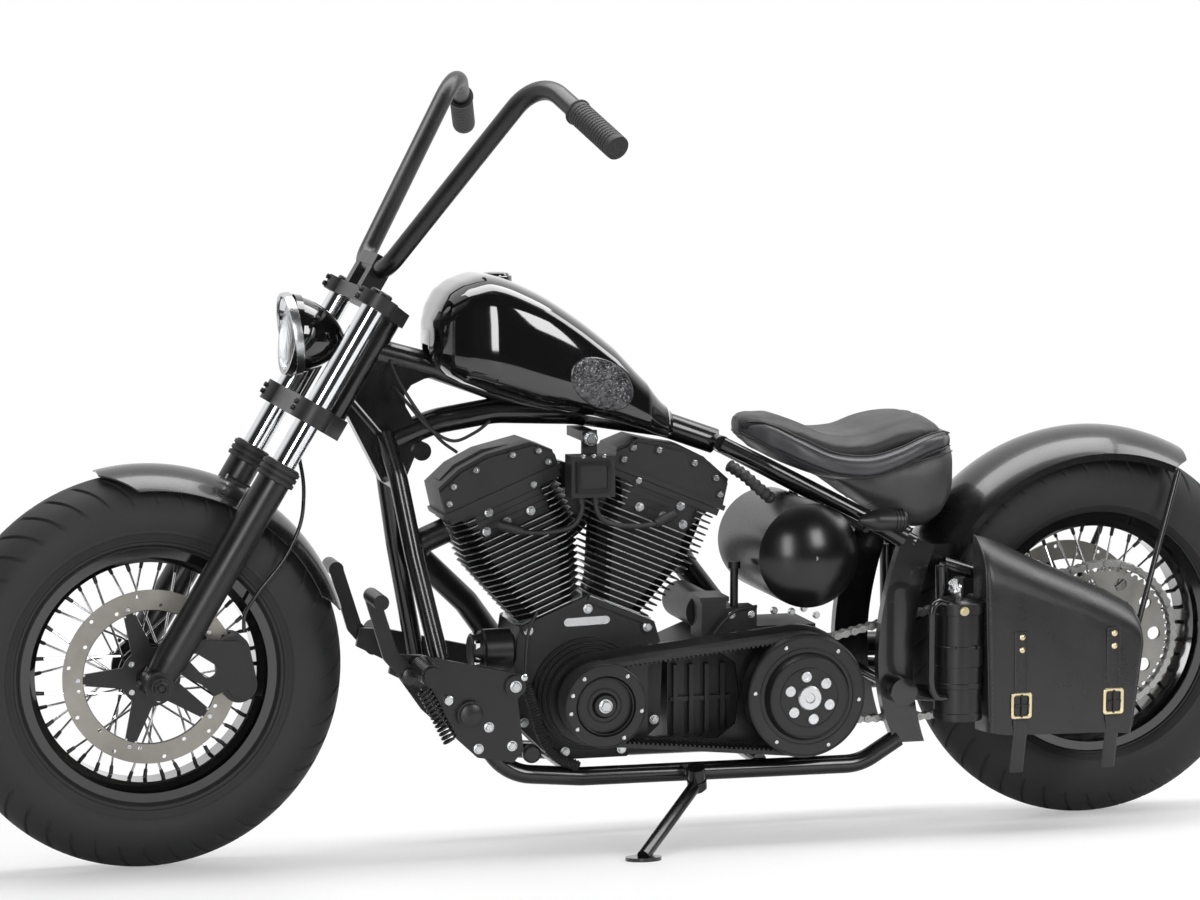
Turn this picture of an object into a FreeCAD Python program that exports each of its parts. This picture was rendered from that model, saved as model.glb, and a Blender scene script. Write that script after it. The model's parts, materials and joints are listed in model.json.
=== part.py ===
import FreeCAD, Part
import math
import os
import Sketcher
from FreeCAD import Placement, Rotation, Vector
from types import SimpleNamespace

# A V-twin chopper motorcycle, leaning on its side stand.
# +X is forward, +Y is the rider's left and +Z is up, in millimetres.
# The machine is drawn upright, its origin on the ground midway between the axles.
# The Placement of each sub-part then leans it over onto the stand.

SIZES = {
    # Stance
    "wheelbase": 1688,
    "lean": 6,
    "rake": 31,
    "rest_steer": 2,
    "fit": 0.3,
    "running": 0.05,
    # Tyres, rims, hubs and spokes
    "tyre_radius": 334,
    "front_tyre_width": 142,
    "rear_tyre_width": 156,
    "crown_radius": 71,
    "shoulder_angle": 45,
    "tyre_wall": 8,
    "rim_seat_radius": 203,
    "rim_flange_radius": 214,
    "rim_half_width": 55,
    "rim_thickness": 4,
    "rim_well_depth": 13,
    "rim_well_half_width": 22,
    "hub_flange_radius": 50,
    "hub_flange_offset": 33,
    "hub_flange_thickness": 6,
    "hub_barrel_radius": 30,
    "hub_core_radius": 24,
    "spoke_radius": 2,
    "spoke_count": 40,
    "spoke_hub_step": 36,
    "axle_radius": 10,
    "axle_bore_radius": 6.5,
    "front_hub_half": 76,
    "rear_hub_left": 104,
    "rear_hub_right": 92,
    # Brakes and final drive
    "disc_radius": 146,
    "disc_inner_radius": 112,
    "disc_thickness": 5,
    "front_disc_y": 62,
    "rear_disc_y": 84,
    "disc_arm_count": 5,
    "disc_arm_root": 19,
    "disc_arm_tip": 9,
    "disc_hole_radius": 3.5,
    "disc_hole_count": 20,
    "chain_y": 94,
    "chain_pitch": 15.875,
    "chain_width": 21,
    "chain_height": 14,
    "sprocket_teeth": 51,
    "sprocket_thickness": 7,
    "front_sprocket_teeth": 25,
    # Fork
    "fork_offset": 55,
    "fork_half_spacing": 122,
    "fork_tube_radius": 20.5,
    "fork_tube_top": 735,
    "fork_tube_foot": 60,
    "slider_radius": 28,
    "slider_top": 385,
    "slider_foot": -22,
    "dust_cap_radius": 30,
    "dust_cap_height": 28,
    "dust_rib_radius": 33,
    "stem_radius": 12.5,
    "head_tube_radius": 29,
    "lower_clamp_level": 492,
    "lower_clamp_height": 36,
    "upper_clamp_level": 710,
    "upper_clamp_height": 25,
    "clamp_wall": 13,
    # Handlebar and grips
    "bar_radius": 16,
    "bar_bend": 45,
    "bar_top_bend": 80,
    "grip_radius": 20,
    "grip_length": 125,
    "riser_height": 34,
    "riser_spacing": 45,
    # Headlight
    "lamp_radius": 68,
    "lamp_depth": 92,
    "lamp_tilt": 8,
    "lens_bulge": 8,
    "lamp_x": 596,
    "lamp_z": 892,
    # Fenders
    "front_fender_radius": 348,
    "front_fender_edge_radius": 312,
    "front_fender_half_width": 82,
    "front_fender_front": 77,
    "front_fender_rear": 164,
    "rear_fender_radius": 366,
    "rear_fender_edge_radius": 312,
    "rear_fender_half_width": 100,
    "rear_fender_front": 21,
    "rear_fender_rear": 118,
    "fender_skin": 2.5,
    # Frame
    "backbone_radius": 22,
    "rail_radius": 16,
    "rail_half_spacing": 118,
    "seat_rail_radius": 13,
    "swingarm_radius": 14,
    "swingarm_half_spacing": 144,
    "frame_bend": 90,
    "belly_height": 153,
    "post_thickness": 20,
    # Engine
    "engine_x": 96,
    "crank_z": 270,
    "cylinder_angle": 22.5,
    "case_half_width": 72,
    "barrel_base": 157,
    "barrel_top": 300,
    "head_top": 376,
    "barrel_radius": 50,
    "fin_pitch": 11,
    "fin_thickness": 3,
    "fin_low_half": 58,
    "fin_high_half": 100,
    "fin_half_depth": 72,
    "fin_reach": 14,
    "rocker_half_length": 106,
    "rocker_half_width": 63,
    "rocker_height": 74,
    # Primary drive
    "primary_plate_y": 116,
    "primary_plate_thickness": 10,
    "belt_y": 145,
    "belt_width": 45,
    "belt_thickness": 7,
    "pulley_radius": 62,
    "pulley_flange_radius": 71,
    "clutch_x": -257,
    "clutch_z": 271,
    "clutch_radius": 98,
    "clutch_cover_radius": 107,
    "clutch_hub_radius": 70,
    # Tanks, seat and luggage
    "oil_tank_x": -282,
    "oil_tank_z": 502,
    "oil_tank_radius": 90,
    "oil_tank_left": 170,
    "oil_tank_right": 150,
    "oil_tank_dome": 40,
    "canister_x": -530,
    "canister_radius": 41,
    "canister_low": 220,
    "canister_high": 423,
    "bag_depth": 76,
    "bag_round": 8,
    # Exhaust
    "exhaust_radius": 22,
    "exhaust_wall": 2,
    "exhaust_y": -190,
    # Side stand
    "stand_x": -75,
    "stand_y": 156,
    "stand_z": 122,
    "stand_pin_radius": 8,
    "stand_eye_radius": 17,
    "stand_eye_height": 16,
    "stand_leg_radius": 11,
    "stand_foot_x": 65,
    "stand_foot_thickness": 6,
}

doc = FreeCAD.newDocument("chopper")
sheet = doc.addObject("Spreadsheet::Sheet", "Dim")
for row, (alias, number) in enumerate(SIZES.items(), start=1):
    sheet.set("A%d" % row, alias)
    sheet.set("B%d" % row, str(number))
    sheet.setAlias("B%d" % row, alias)
doc.recompute()


class Size(float):
    """A number from the sheet that remembers its formula, so that a property can be bound to it."""

    def __new__(cls, number, formula):
        size = super().__new__(cls, number)
        size.formula = formula
        return size

    def __add__(self, other):
        return joined(self, "+", other, float(self) + float(other))

    def __radd__(self, other):
        return joined(other, "+", self, float(other) + float(self))

    def __sub__(self, other):
        return joined(self, "-", other, float(self) - float(other))

    def __rsub__(self, other):
        return joined(other, "-", self, float(other) - float(self))

    def __mul__(self, other):
        return joined(self, "*", other, float(self) * float(other))

    def __rmul__(self, other):
        return joined(other, "*", self, float(other) * float(self))

    def __truediv__(self, other):
        return joined(self, "/", other, float(self) / float(other))

    def __neg__(self):
        return joined(0, "-", self, -float(self))


def formula_of(number):
    return number.formula if isinstance(number, Size) else repr(float(number))


def joined(left, sign, right, number):
    return Size(number, "(%s %s %s)" % (formula_of(left), sign, formula_of(right)))


def sine(angle):
    return Size(math.sin(math.radians(angle)), "sin(%s)" % formula_of(angle))


def cosine(angle):
    return Size(math.cos(math.radians(angle)), "cos(%s)" % formula_of(angle))


dim = SimpleNamespace(**{alias: Size(sheet.get(alias), "Dim." + alias) for alias in SIZES})


# ---------------------------------------------------------------- places

X = Vector(1, 0, 0)
Y = Vector(0, 1, 0)
Z = Vector(0, 0, 1)
HERE = Vector(0, 0, 0)


def turned(axis, angle, through=HERE):
    """The Placement that turns things about a line."""
    return Placement(HERE, Rotation(axis, angle), through)


def moved(vector):
    return Placement(vector, Rotation())


FRONT_AXLE = Vector(dim.wheelbase / 2, 0, dim.tyre_radius)
REAR_AXLE = Vector(-dim.wheelbase / 2, 0, dim.tyre_radius)
FORK_UP = Vector(-sine(dim.rake), 0, cosine(dim.rake))
FORK_AHEAD = Vector(cosine(dim.rake), 0, sine(dim.rake))

# The lean turns about the middle of the tyres' round crowns, which keeps them on the ground.
# The sideways shift keeps the origin under the middle of the machine's width.
BAR_END_HEIGHT = 1222
LEAN = turned(X, -dim.lean, Vector(0, 0, dim.crown_radius))
CENTRING = moved(Vector(0, -(BAR_END_HEIGHT - dim.crown_radius) * sine(dim.lean), 0))
BIKE = CENTRING * LEAN
STEERED = BIKE * turned(FORK_UP, dim.rest_steer, FRONT_AXLE - FORK_AHEAD * dim.fork_offset)
FORK = STEERED * Placement(FRONT_AXLE, Rotation(Y, -dim.rake))
FRONT_WHEEL = STEERED * moved(FRONT_AXLE)
REAR_WHEEL = BIKE * moved(REAR_AXLE)


def fork_point(ahead, side, up):
    """A place given along the fork's own directions, in the upright machine."""
    return FRONT_AXLE + FORK_AHEAD * ahead + Y * side + FORK_UP * up


# ---------------------------------------------------------------- building blocks

nodes = {}


def bind(thing, **values):
    """Set properties, and tie those that come from the sheet to it."""
    for name, value in values.items():
        if isinstance(value, Size):
            thing.setExpression(name, value.formula)
        else:
            setattr(thing, name, value)


def place(thing, at, turn=None):
    """Put a primitive at a point whose coordinates may follow the sheet."""
    thing.Placement = Placement(Vector(*at), turn or Rotation())
    for name, value in zip("xyz", at):
        if isinstance(value, Size):
            thing.setExpression("Placement.Base." + name, value.formula)
    return thing


def cylinder(name, radius, length, at, turn=None):
    """A cylinder that starts at a point; it stands up unless it is turned."""
    thing = doc.addObject("Part::Cylinder", name)
    bind(thing, Radius=radius, Height=length)
    return place(thing, at, turn)


def crosswise(name, radius, low, high, x=0, z=0):
    """A cylinder across the machine, between two values of Y."""
    return cylinder(name, radius, high - low, (x, high, z), Rotation(X, 90))


def box(name, lengths, corner, turn=None):
    thing = doc.addObject("Part::Box", name)
    bind(thing, Length=lengths[0], Width=lengths[1], Height=lengths[2])
    return place(thing, corner, turn)


def fuse(name, *pieces):
    thing = doc.addObject("Part::MultiFuse", name)
    thing.Shapes = list(pieces)
    thing.Refine = True
    return thing


def cut(name, base, *tools):
    thing = doc.addObject("Part::Cut", name)
    thing.Base = base
    thing.Tool = tools[0] if len(tools) == 1 else fuse(name + "_tools", *tools)
    return thing


def shaped(name, shape):
    """A piece whose shape is worked out with Part's own functions."""
    thing = doc.addObject("Part::Feature", name)
    thing.Shape = shape
    return thing


def subpart(node, frame, *pieces):
    """A named sub-part: its pieces, taken to their place on the leaning machine."""
    thing = doc.addObject("Part::Compound", node)
    thing.Label = node
    thing.Links = list(pieces)
    thing.Placement = frame
    nodes[node] = thing


def datum_plane(body, role):
    return next(item for item in body.Origin.OriginFeatures if item.Role == role)


def arc_between(start, end, radius):
    """The lesser arc between two points; a negative radius has its centre on the right."""
    half = (end - start) * 0.5
    rise = math.sqrt(max(float(radius) ** 2 - half.Length ** 2, 0))
    left = Vector(-half.y, half.x, 0).normalize()
    centre = start + half + left * math.copysign(rise, radius)
    first, last = (start, end) if radius > 0 else (end, start)
    angles = [math.atan2(point.y - centre.y, point.x - centre.x) for point in (first, last)]
    if angles[1] < angles[0]:
        angles[1] += 2 * math.pi
    return Part.ArcOfCircle(Part.Circle(centre, Z, abs(radius)), *angles)


def outline(body, role, corners, offset=0):
    """A closed sketch; a corner is (across, up) or (across, up, radius of the arc that follows)."""
    sketch = body.newObject("Sketcher::SketchObject", body.Name + "_outline")
    sketch.AttachmentSupport = [(datum_plane(body, role), "")]
    sketch.MapMode = "FlatFace"
    if isinstance(offset, Size):
        sketch.setExpression("AttachmentOffset.Base.z", offset.formula)
    sketch.AttachmentOffset = moved(Vector(0, 0, offset))
    points = [Vector(corner[0], corner[1], 0) for corner in corners]
    ends = []
    for index, corner in enumerate(corners):
        start, end = points[index], points[(index + 1) % len(points)]
        radius = corner[2] if len(corner) > 2 else None
        edge = Part.LineSegment(start, end) if radius is None else arc_between(start, end, radius)
        number = sketch.addGeometry(edge)
        ends.append((number, 1, 2) if radius is None or radius > 0 else (number, 2, 1))
        if radius is not None:
            where = sketch.addConstraint(Sketcher.Constraint("Radius", number, abs(float(radius))))
            if isinstance(radius, Size):
                positive = radius if radius > 0 else -radius
                sketch.setExpression("Constraints[%d]" % where, positive.formula)
    for index, (number, begin, finish) in enumerate(ends):
        following, start, _ = ends[(index + 1) % len(ends)]
        sketch.addConstraint(Sketcher.Constraint("Coincident", number, finish, following, start))
        for kind, value in (("DistanceX", corners[index][0]), ("DistanceY", corners[index][1])):
            constraint = Sketcher.Constraint(kind, -1, 1, number, begin, float(value))
            where = sketch.addConstraint(constraint)
            if isinstance(value, Size):
                sketch.setExpression("Constraints[%d]" % where, value.formula)
    return sketch


def lathe(name, corners):
    """A ring or disc turned about Y; a corner is (distance along Y, radius)."""
    body = doc.addObject("PartDesign::Body", name)
    sketch = outline(body, "YZ_Plane", corners)
    turning = body.newObject("PartDesign::Revolution", name + "_turned")
    turning.Profile = sketch
    turning.ReferenceAxis = (sketch, ["H_Axis"])
    sketch.Visibility = False
    return body


def plate(name, corners, low, high):
    """A plate of a side outline, given by (forward, up), between two values of Y."""
    body = doc.addObject("PartDesign::Body", name)
    sketch = outline(body, "XZ_Plane", corners, -high)
    pad = body.newObject("PartDesign::Pad", name + "_pad")
    pad.Profile = sketch
    bind(pad, Length=high - low)
    return body


def plate_level(name, corners, low, high):
    """A level plate of a plan outline, given by (forward, left), between two heights."""
    body = doc.addObject("PartDesign::Body", name)
    sketch = outline(body, "XY_Plane", corners, low)
    pad = body.newObject("PartDesign::Pad", name + "_pad")
    pad.Profile = sketch
    bind(pad, Length=high - low)
    return body


def bent_wire(points, bend):
    """Straight runs joined by tangent arcs; the bend is one radius, or a list of them."""
    edges = []
    start = points[0]
    bends = bend if isinstance(bend, list) else [bend] * (len(points) - 2)
    for before, corner, after, wanted in zip(points, points[1:], points[2:], bends):
        back = (before - corner).normalize()
        ahead = (after - corner).normalize()
        half_turn = (math.pi - back.getAngle(ahead)) / 2
        room = 0.45 * min((before - corner).Length, (after - corner).Length)
        reach = min(wanted * math.tan(half_turn), room)
        radius = reach / math.tan(half_turn)
        inward = (back + ahead).normalize()
        middle = corner + inward * (radius / math.cos(half_turn) - radius)
        first, last = corner + back * reach, corner + ahead * reach
        edges.append(Part.LineSegment(start, first).toShape())
        edges.append(Part.Arc(first, middle, last).toShape())
        start = last
    edges.append(Part.LineSegment(start, points[-1]).toShape())
    return Part.Wire(edges)


def tube(points, radius, bend=0, bore=0):
    """A round bar or tube along a route."""
    points = [Vector(*point) for point in points]
    wire = bent_wire(points, bend)
    circles = [Part.Wire(Part.Circle(points[0], points[1] - points[0], radius).toShape())]
    if bore:
        circles.append(Part.Wire(Part.Circle(points[0], points[1] - points[0], bore).toShape()))
    solids = [wire.makePipeShell([circle], True, False) for circle in circles]
    return solids[0].cut(solids[1]) if bore else solids[0]


def both_sides(shape):
    """A shape and its twin across the machine."""
    return [shape, shape.mirror(HERE, Y)]


def rounded_rectangle(x, half_width, low, high, radius):
    """A closed wire across the machine at one place along it."""
    corners = [(half_width, low), (half_width, high), (-half_width, high), (-half_width, low)]
    count = len(corners)
    edges = []
    joints = []
    for index, (across, up) in enumerate(corners):
        corner = Vector(x, across, up)
        before = Vector(x, *corners[index - 1])
        after = Vector(x, *corners[(index + 1) % count])
        back = (before - corner).normalize()
        ahead = (after - corner).normalize()
        middle = corner + (back + ahead) * radius * (1 - math.sqrt(0.5))
        joints.append((corner + back * radius, middle, corner + ahead * radius))
    for index, (first, middle, last) in enumerate(joints):
        edges.append(Part.Arc(first, middle, last).toShape())
        edges.append(Part.LineSegment(last, joints[(index + 1) % count][0]).toShape())
    return Part.Wire(edges)


def loop(front, front_radius, rear, rear_radius):
    """A closed belt line round two wheels, each given as (forward, up): arcs and tangents."""
    run = Vector(rear[0] - front[0], 0, rear[1] - front[1])
    length = run.Length
    along = run.normalize()
    swing = math.asin((rear_radius - front_radius) / length)
    edges = []
    ends = []
    for sign in (1, -1):
        square = Vector(-along.z, 0, along.x) * -sign
        normal = square * math.cos(swing) - along * math.sin(swing)
        ends.append((Vector(front[0], 0, front[1]) + normal * front_radius,
                     Vector(rear[0], 0, rear[1]) + normal * rear_radius))
    (upper_front, upper_rear), (lower_front, lower_rear) = ends
    front_far = Vector(front[0], 0, front[1]) - along * front_radius
    rear_far = Vector(rear[0], 0, rear[1]) + along * rear_radius
    edges.append(Part.LineSegment(upper_front, upper_rear).toShape())
    edges.append(Part.Arc(upper_rear, rear_far, lower_rear).toShape())
    edges.append(Part.LineSegment(lower_rear, lower_front).toShape())
    edges.append(Part.Arc(lower_front, front_far, upper_front).toShape())
    return Part.Wire(edges)


# ---------------------------------------------------------------- wheels

def tyre(node, frame, width):
    """A hollow tyre: one round crown, a fuller shoulder, and a side that tucks in to the bead."""
    half = width / 2
    crown = dim.crown_radius
    slope = dim.shoulder_angle
    axis = dim.tyre_radius - crown
    shoulder = (half - crown * sine(slope)) / (1 - sine(slope))
    widest = axis + (crown - shoulder) * cosine(slope)
    heel = dim.rim_half_width - dim.rim_thickness - dim.fit
    seat = dim.rim_seat_radius + dim.fit
    neck = dim.rim_flange_radius + 2
    reach = half - heel
    drop = widest - neck
    side = (reach * reach + drop * drop) / (reach * 2)
    wall = dim.tyre_wall
    share = (side - wall) / side
    inner_y = half - side + (heel - half + side) * share
    inner_r = widest - drop * share
    toe = heel - wall * 2
    right = [
        (crown * sine(slope), axis + crown * cosine(slope), -shoulder),
        (half, widest, -side),
        (heel, neck),
        (heel, seat),
        (toe, seat),
        (toe, seat + wall),
        (inner_y, inner_r, side - wall),
        (half - wall, widest, shoulder - wall),
        ((crown - wall) * sine(slope), axis + (crown - wall) * cosine(slope), crown - wall),
    ]
    left = [(-corner[0], corner[1]) for corner in reversed(right)]
    radii = [shoulder - wall, side - wall, None, None, None, None, -side, -shoulder, -crown]
    left = [corner if radius is None else corner + (radius,) for corner, radius in zip(left, radii)]
    subpart(node, frame, lathe(node + "_ring", right + left))


def rim(node, frame):
    """A drop-centre rim."""
    seat = dim.rim_seat_radius
    skin = dim.rim_thickness
    lip = dim.rim_half_width
    well = dim.rim_well_half_width
    bottom = seat - dim.rim_well_depth
    right = [
        (well, bottom),
        (well + skin * 2, seat),
        (lip - skin, seat),
        (lip - skin, dim.rim_flange_radius),
        (lip, dim.rim_flange_radius),
        (lip, seat - skin),
        (well + skin * 2.5, seat - skin),
        (well + skin / 2, bottom - skin),
    ]
    left = [(-corner[0], corner[1]) for corner in reversed(right)]
    subpart(node, frame, lathe(node + "_ring", right + left))


def spokes(hub):
    """Crossed six-sided spokes: two rows on each flange, which lean opposite ways."""
    count = int(dim.spoke_count)
    rim_radius = dim.rim_seat_radius - dim.rim_well_depth - dim.rim_thickness - dim.fit * 3
    hub_radius = dim.hub_flange_radius - dim.spoke_radius * 3
    shapes = []
    for index in range(count):
        side = 1 if index % 2 else -1
        way = 1 if index // 2 % 2 else -1
        rim_angle = math.radians(360 * index / count)
        hub_angle = rim_angle - way * math.radians(dim.spoke_hub_step)
        root_y = side * (dim.hub_flange_offset + way * dim.spoke_radius * 2)
        tip_y = side * dim.rim_well_half_width / 3
        root = Vector(hub_radius * math.cos(hub_angle), root_y, hub_radius * math.sin(hub_angle))
        tip = Vector(rim_radius * math.cos(rim_angle), tip_y, rim_radius * math.sin(rim_angle))
        run = tip - root
        ring = [Vector(math.cos(turn), math.sin(turn), 0) * dim.spoke_radius
                for turn in [math.pi / 3 * step for step in range(7)]]
        section = Part.Face(Part.makePolygon(ring))
        section.Placement = Placement(root, Rotation(Z, run))
        shapes.append(section.extrude(run))
    return shaped(hub + "_spokes", Part.makeCompound(shapes))


def hub(node, frame, left, right, left_boss, right_boss, boss_radius):
    """A hub turned from bar, with spoke flanges and seats for what is bolted to its ends."""
    bore = dim.axle_radius + dim.running
    core = dim.hub_core_radius
    barrel = dim.hub_barrel_radius
    flange = dim.hub_flange_radius
    inner = dim.hub_flange_offset - dim.hub_flange_thickness / 2
    outer = dim.hub_flange_offset + dim.hub_flange_thickness / 2
    corners = [
        (-right, bore), (-right, core), (-right_boss, core), (-right_boss, boss_radius),
        (-outer, boss_radius), (-outer, flange), (-inner, flange), (-inner, barrel),
        (inner, barrel), (inner, flange), (outer, flange), (outer, boss_radius),
        (left_boss, boss_radius), (left_boss, core), (left, core), (left, bore),
    ]
    barrel_body = lathe(node + "_barrel", corners)
    subpart(node, frame, fuse(node + "_laced", barrel_body, spokes(node)))


def brake_disc(node, frame, middle, side):
    """A disc on five arms, at one side of the hub."""
    half = dim.disc_thickness / 2
    low, high = side * middle - half, side * middle + half
    rotor = lathe(node + "_rotor", [
        (low, dim.disc_inner_radius), (high, dim.disc_inner_radius),
        (high, dim.disc_radius), (low, dim.disc_radius)])
    centre = lathe(node + "_centre", [
        (low, dim.hub_core_radius + dim.fit), (high, dim.hub_core_radius + dim.fit),
        (high, dim.hub_flange_radius), (low, dim.hub_flange_radius)])
    arms = []
    inner = dim.hub_flange_radius * 0.7
    outer = dim.disc_inner_radius + 4
    taper = [(inner, -dim.disc_arm_root), (outer, -dim.disc_arm_tip),
             (outer, dim.disc_arm_tip), (inner, dim.disc_arm_root)]
    for index in range(int(dim.disc_arm_count)):
        arm = plate(node + "_arm", taper, low, high)
        arms.append(place(arm, (0, 0, 0), Rotation(Y, 360 / dim.disc_arm_count * index)))
    solid = fuse(node + "_solid", rotor, centre, *arms)
    inner_row, outer_row = 9, 25
    holes = []
    for index in range(int(dim.disc_hole_count)):
        angle = 2 * math.pi * (index + 0.5) / dim.disc_hole_count
        reach = dim.disc_inner_radius + (inner_row if index % 2 else outer_row)
        hole = Part.makeCylinder(dim.disc_hole_radius, dim.disc_thickness * 3,
                                 Vector(reach * math.cos(angle), low - 5, reach * math.sin(angle)), Y)
        holes.append(hole)
    drilled = shaped(node + "_holes", Part.makeCompound(holes))
    subpart(node, frame, cut(node + "_drilled", solid, drilled))


def sprocket_pitch_radius(teeth):
    return dim.chain_pitch / 2 / math.sin(math.pi / teeth)


def sprocket(node, frame):
    """The rear sprocket, its teeth just short of the chain's rollers."""
    teeth = int(dim.sprocket_teeth)
    tip = sprocket_pitch_radius(teeth) - dim.chain_height / 2 - 2
    root = tip - 5
    ring = []
    for index in range(teeth):
        for share, radius in ((-0.3, root), (-0.12, tip), (0.12, tip), (0.3, root)):
            angle = 2 * math.pi * (index + share) / teeth
            ring.append(Vector(radius * math.cos(angle), 0, radius * math.sin(angle)))
    face = Part.Face(Part.makePolygon(ring + ring[:1]))
    solid = face.extrude(Y * dim.sprocket_thickness)
    solid.translate(Y * (dim.chain_y - dim.sprocket_thickness / 2))
    holes = [Part.makeCylinder(dim.hub_core_radius + dim.fit, 60, Y * (dim.chain_y - 30), Y)]
    step = 2 * math.pi / 10
    for radius, reach, turn in ((12, 94, 0), (6, 66, step / 2)):
        for index in range(10):
            angle = step * index + turn
            centre = Vector(reach * math.cos(angle), dim.chain_y - 30, reach * math.sin(angle))
            holes.append(Part.makeCylinder(radius, 60, centre, Y))
    subpart(node, frame, shaped(node + "_toothed", solid.cut(holes)))


tyre("front_tyre", FRONT_WHEEL, dim.front_tyre_width)
tyre("rear_tyre", REAR_WHEEL, dim.rear_tyre_width)
rim("front_rim", FRONT_WHEEL)
rim("rear_rim", REAR_WHEEL)
DISC_SEAT = dim.disc_thickness / 2 + dim.fit
SPROCKET_SEAT = dim.sprocket_thickness / 2 + dim.fit
hub("front_hub", FRONT_WHEEL, dim.front_hub_half, dim.front_hub_half,
    dim.front_disc_y - DISC_SEAT, dim.hub_flange_offset + dim.hub_flange_thickness,
    dim.hub_flange_radius - 12)
hub("rear_hub", REAR_WHEEL, dim.rear_hub_left, dim.rear_hub_right,
    dim.chain_y - SPROCKET_SEAT, dim.rear_disc_y - DISC_SEAT, dim.hub_flange_radius - 12)
brake_disc("front_disc", FRONT_WHEEL, dim.front_disc_y, 1)
brake_disc("rear_disc", REAR_WHEEL, dim.rear_disc_y, -1)
sprocket("rear_sprocket", REAR_WHEEL)


# ---------------------------------------------------------------- fork

def fork_leg(side):
    """A slider with its axle boss and dust cap, bored for the tube and for the axle."""
    y = side * dim.fork_half_spacing
    inner = dim.fork_half_spacing - dim.slider_radius
    shoulder = 44
    barrel = cylinder("slider_barrel", dim.slider_radius, dim.slider_top - shoulder, (0, y, shoulder))
    taper = doc.addObject("Part::Cone", "slider_taper")
    bind(taper, Radius1=dim.slider_radius - 6, Radius2=dim.slider_radius, Height=shoulder - dim.slider_foot)
    place(taper, (0, y, dim.slider_foot))
    cap = cylinder("slider_cap", dim.dust_cap_radius, dim.dust_cap_height, (0, y, dim.slider_top))
    ribs = [cylinder("slider_cap_rib", dim.dust_rib_radius, 6, (0, y, dim.slider_top + rise))
            for rise in (0, 10, 20)]
    low, high = (inner, inner + 56) if side > 0 else (-(inner + 56), -inner)
    boss = crosswise("slider_boss", dim.slider_radius - 4, low, high)
    bore = cylinder("slider_bore", dim.fork_tube_radius + dim.fit, 600, (0, y, dim.fork_tube_foot))
    hole = crosswise("slider_axle_hole", dim.axle_radius + dim.running, low - 1, high + 1)
    return cut("slider", fuse("slider_solid", barrel, taper, cap, boss, *ribs), bore, hole)


def clamp(node, level, height, extra):
    """A triple clamp: two split eyes for the tubes and a waisted bridge to the steering stem."""
    spacing = dim.fork_half_spacing
    eye = dim.fork_tube_radius + dim.clamp_wall
    back = dim.fork_offset + dim.head_tube_radius
    eyes = [cylinder(node + "_eye", eye, height, (0, side * spacing, level)) for side in (1, -1)]
    bridge = plate_level(node + "_bridge", [
        (eye * 0.6, spacing), (eye * 0.6, -spacing), (-eye * 0.8, -spacing),
        (-back, -dim.head_tube_radius), (-back, dim.head_tube_radius), (-eye * 0.8, spacing)],
        level, level + height)
    solid = fuse(node + "_solid", bridge, *(eyes + extra))
    holes = [cylinder(node + "_hole", dim.fork_tube_radius + dim.running, height + 2,
                      (0, side * spacing, level - 1)) for side in (1, -1)]
    return cut(node + "_bored", solid, *holes)


STEM_TOP = dim.upper_clamp_level + dim.upper_clamp_height
stem = cylinder("stem", dim.stem_radius, STEM_TOP - dim.lower_clamp_level,
                (-dim.fork_offset, 0, dim.lower_clamp_level))
subpart("lower_clamp", FORK, clamp("lower_clamp", dim.lower_clamp_level,
                                   dim.lower_clamp_height, [stem]))
upper = clamp("upper_clamp", dim.upper_clamp_level, dim.upper_clamp_height, [])
stem_hole = cylinder("stem_hole", dim.stem_radius + dim.running, dim.upper_clamp_height + 2,
                     (-dim.fork_offset, 0, dim.upper_clamp_level - 1))
subpart("upper_clamp", FORK, cut("upper_clamp_drilled", upper, stem_hole))
subpart("fork_tubes", FORK, *[
    cylinder("fork_tube", dim.fork_tube_radius, dim.fork_tube_top - dim.fork_tube_foot,
             (0, side * dim.fork_half_spacing, dim.fork_tube_foot)) for side in (1, -1)])
subpart("fork_sliders", FORK, fork_leg(1), fork_leg(-1))

BOSS_FACE = dim.fork_half_spacing - dim.slider_radius
front_spindle = crosswise("front_spindle", dim.axle_radius, -(BOSS_FACE + 62), BOSS_FACE + 62)
front_spacers = [
    crosswise("front_spacer", dim.axle_radius + 6, dim.front_hub_half + 0.5, BOSS_FACE - dim.fit),
    crosswise("front_spacer", dim.axle_radius + 6, -(BOSS_FACE - dim.fit),
              -(dim.front_hub_half + 0.5))]
front_nuts = [
    crosswise("front_axle_nut", dim.axle_radius + 5, BOSS_FACE + 56 + dim.fit, BOSS_FACE + 68),
    crosswise("front_axle_nut", dim.axle_radius + 5, -(BOSS_FACE + 68),
              -(BOSS_FACE + 56 + dim.fit))]
front_bore = crosswise("front_axle_bore", dim.axle_bore_radius, -200, 200)
front_spindle_whole = fuse("front_spindle_whole", front_spindle, *(front_spacers + front_nuts))
subpart("front_axle", FORK, cut("front_axle_hollow", front_spindle_whole, front_bore))

# The handlebar is one tube: across the clamp, up and out, then back and down to the grips.
BAR_X, BAR_Z = 5, 778
BAR_ROUTE = [(BAR_X, 84, BAR_Z), (-12, 262, 1164), (-122, 472, 1109)]
bar_left = [Vector(*point) for point in BAR_ROUTE]
bar_right = [Vector(point.x, -point.y, point.z) for point in reversed(bar_left)]
BAR_BENDS = [dim.bar_top_bend, dim.bar_bend, dim.bar_bend, dim.bar_top_bend]
subpart("handlebar", FORK, shaped("bar_tube", tube(bar_right + bar_left, dim.bar_radius, BAR_BENDS,
                                                    dim.bar_radius - 2.5)))


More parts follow.
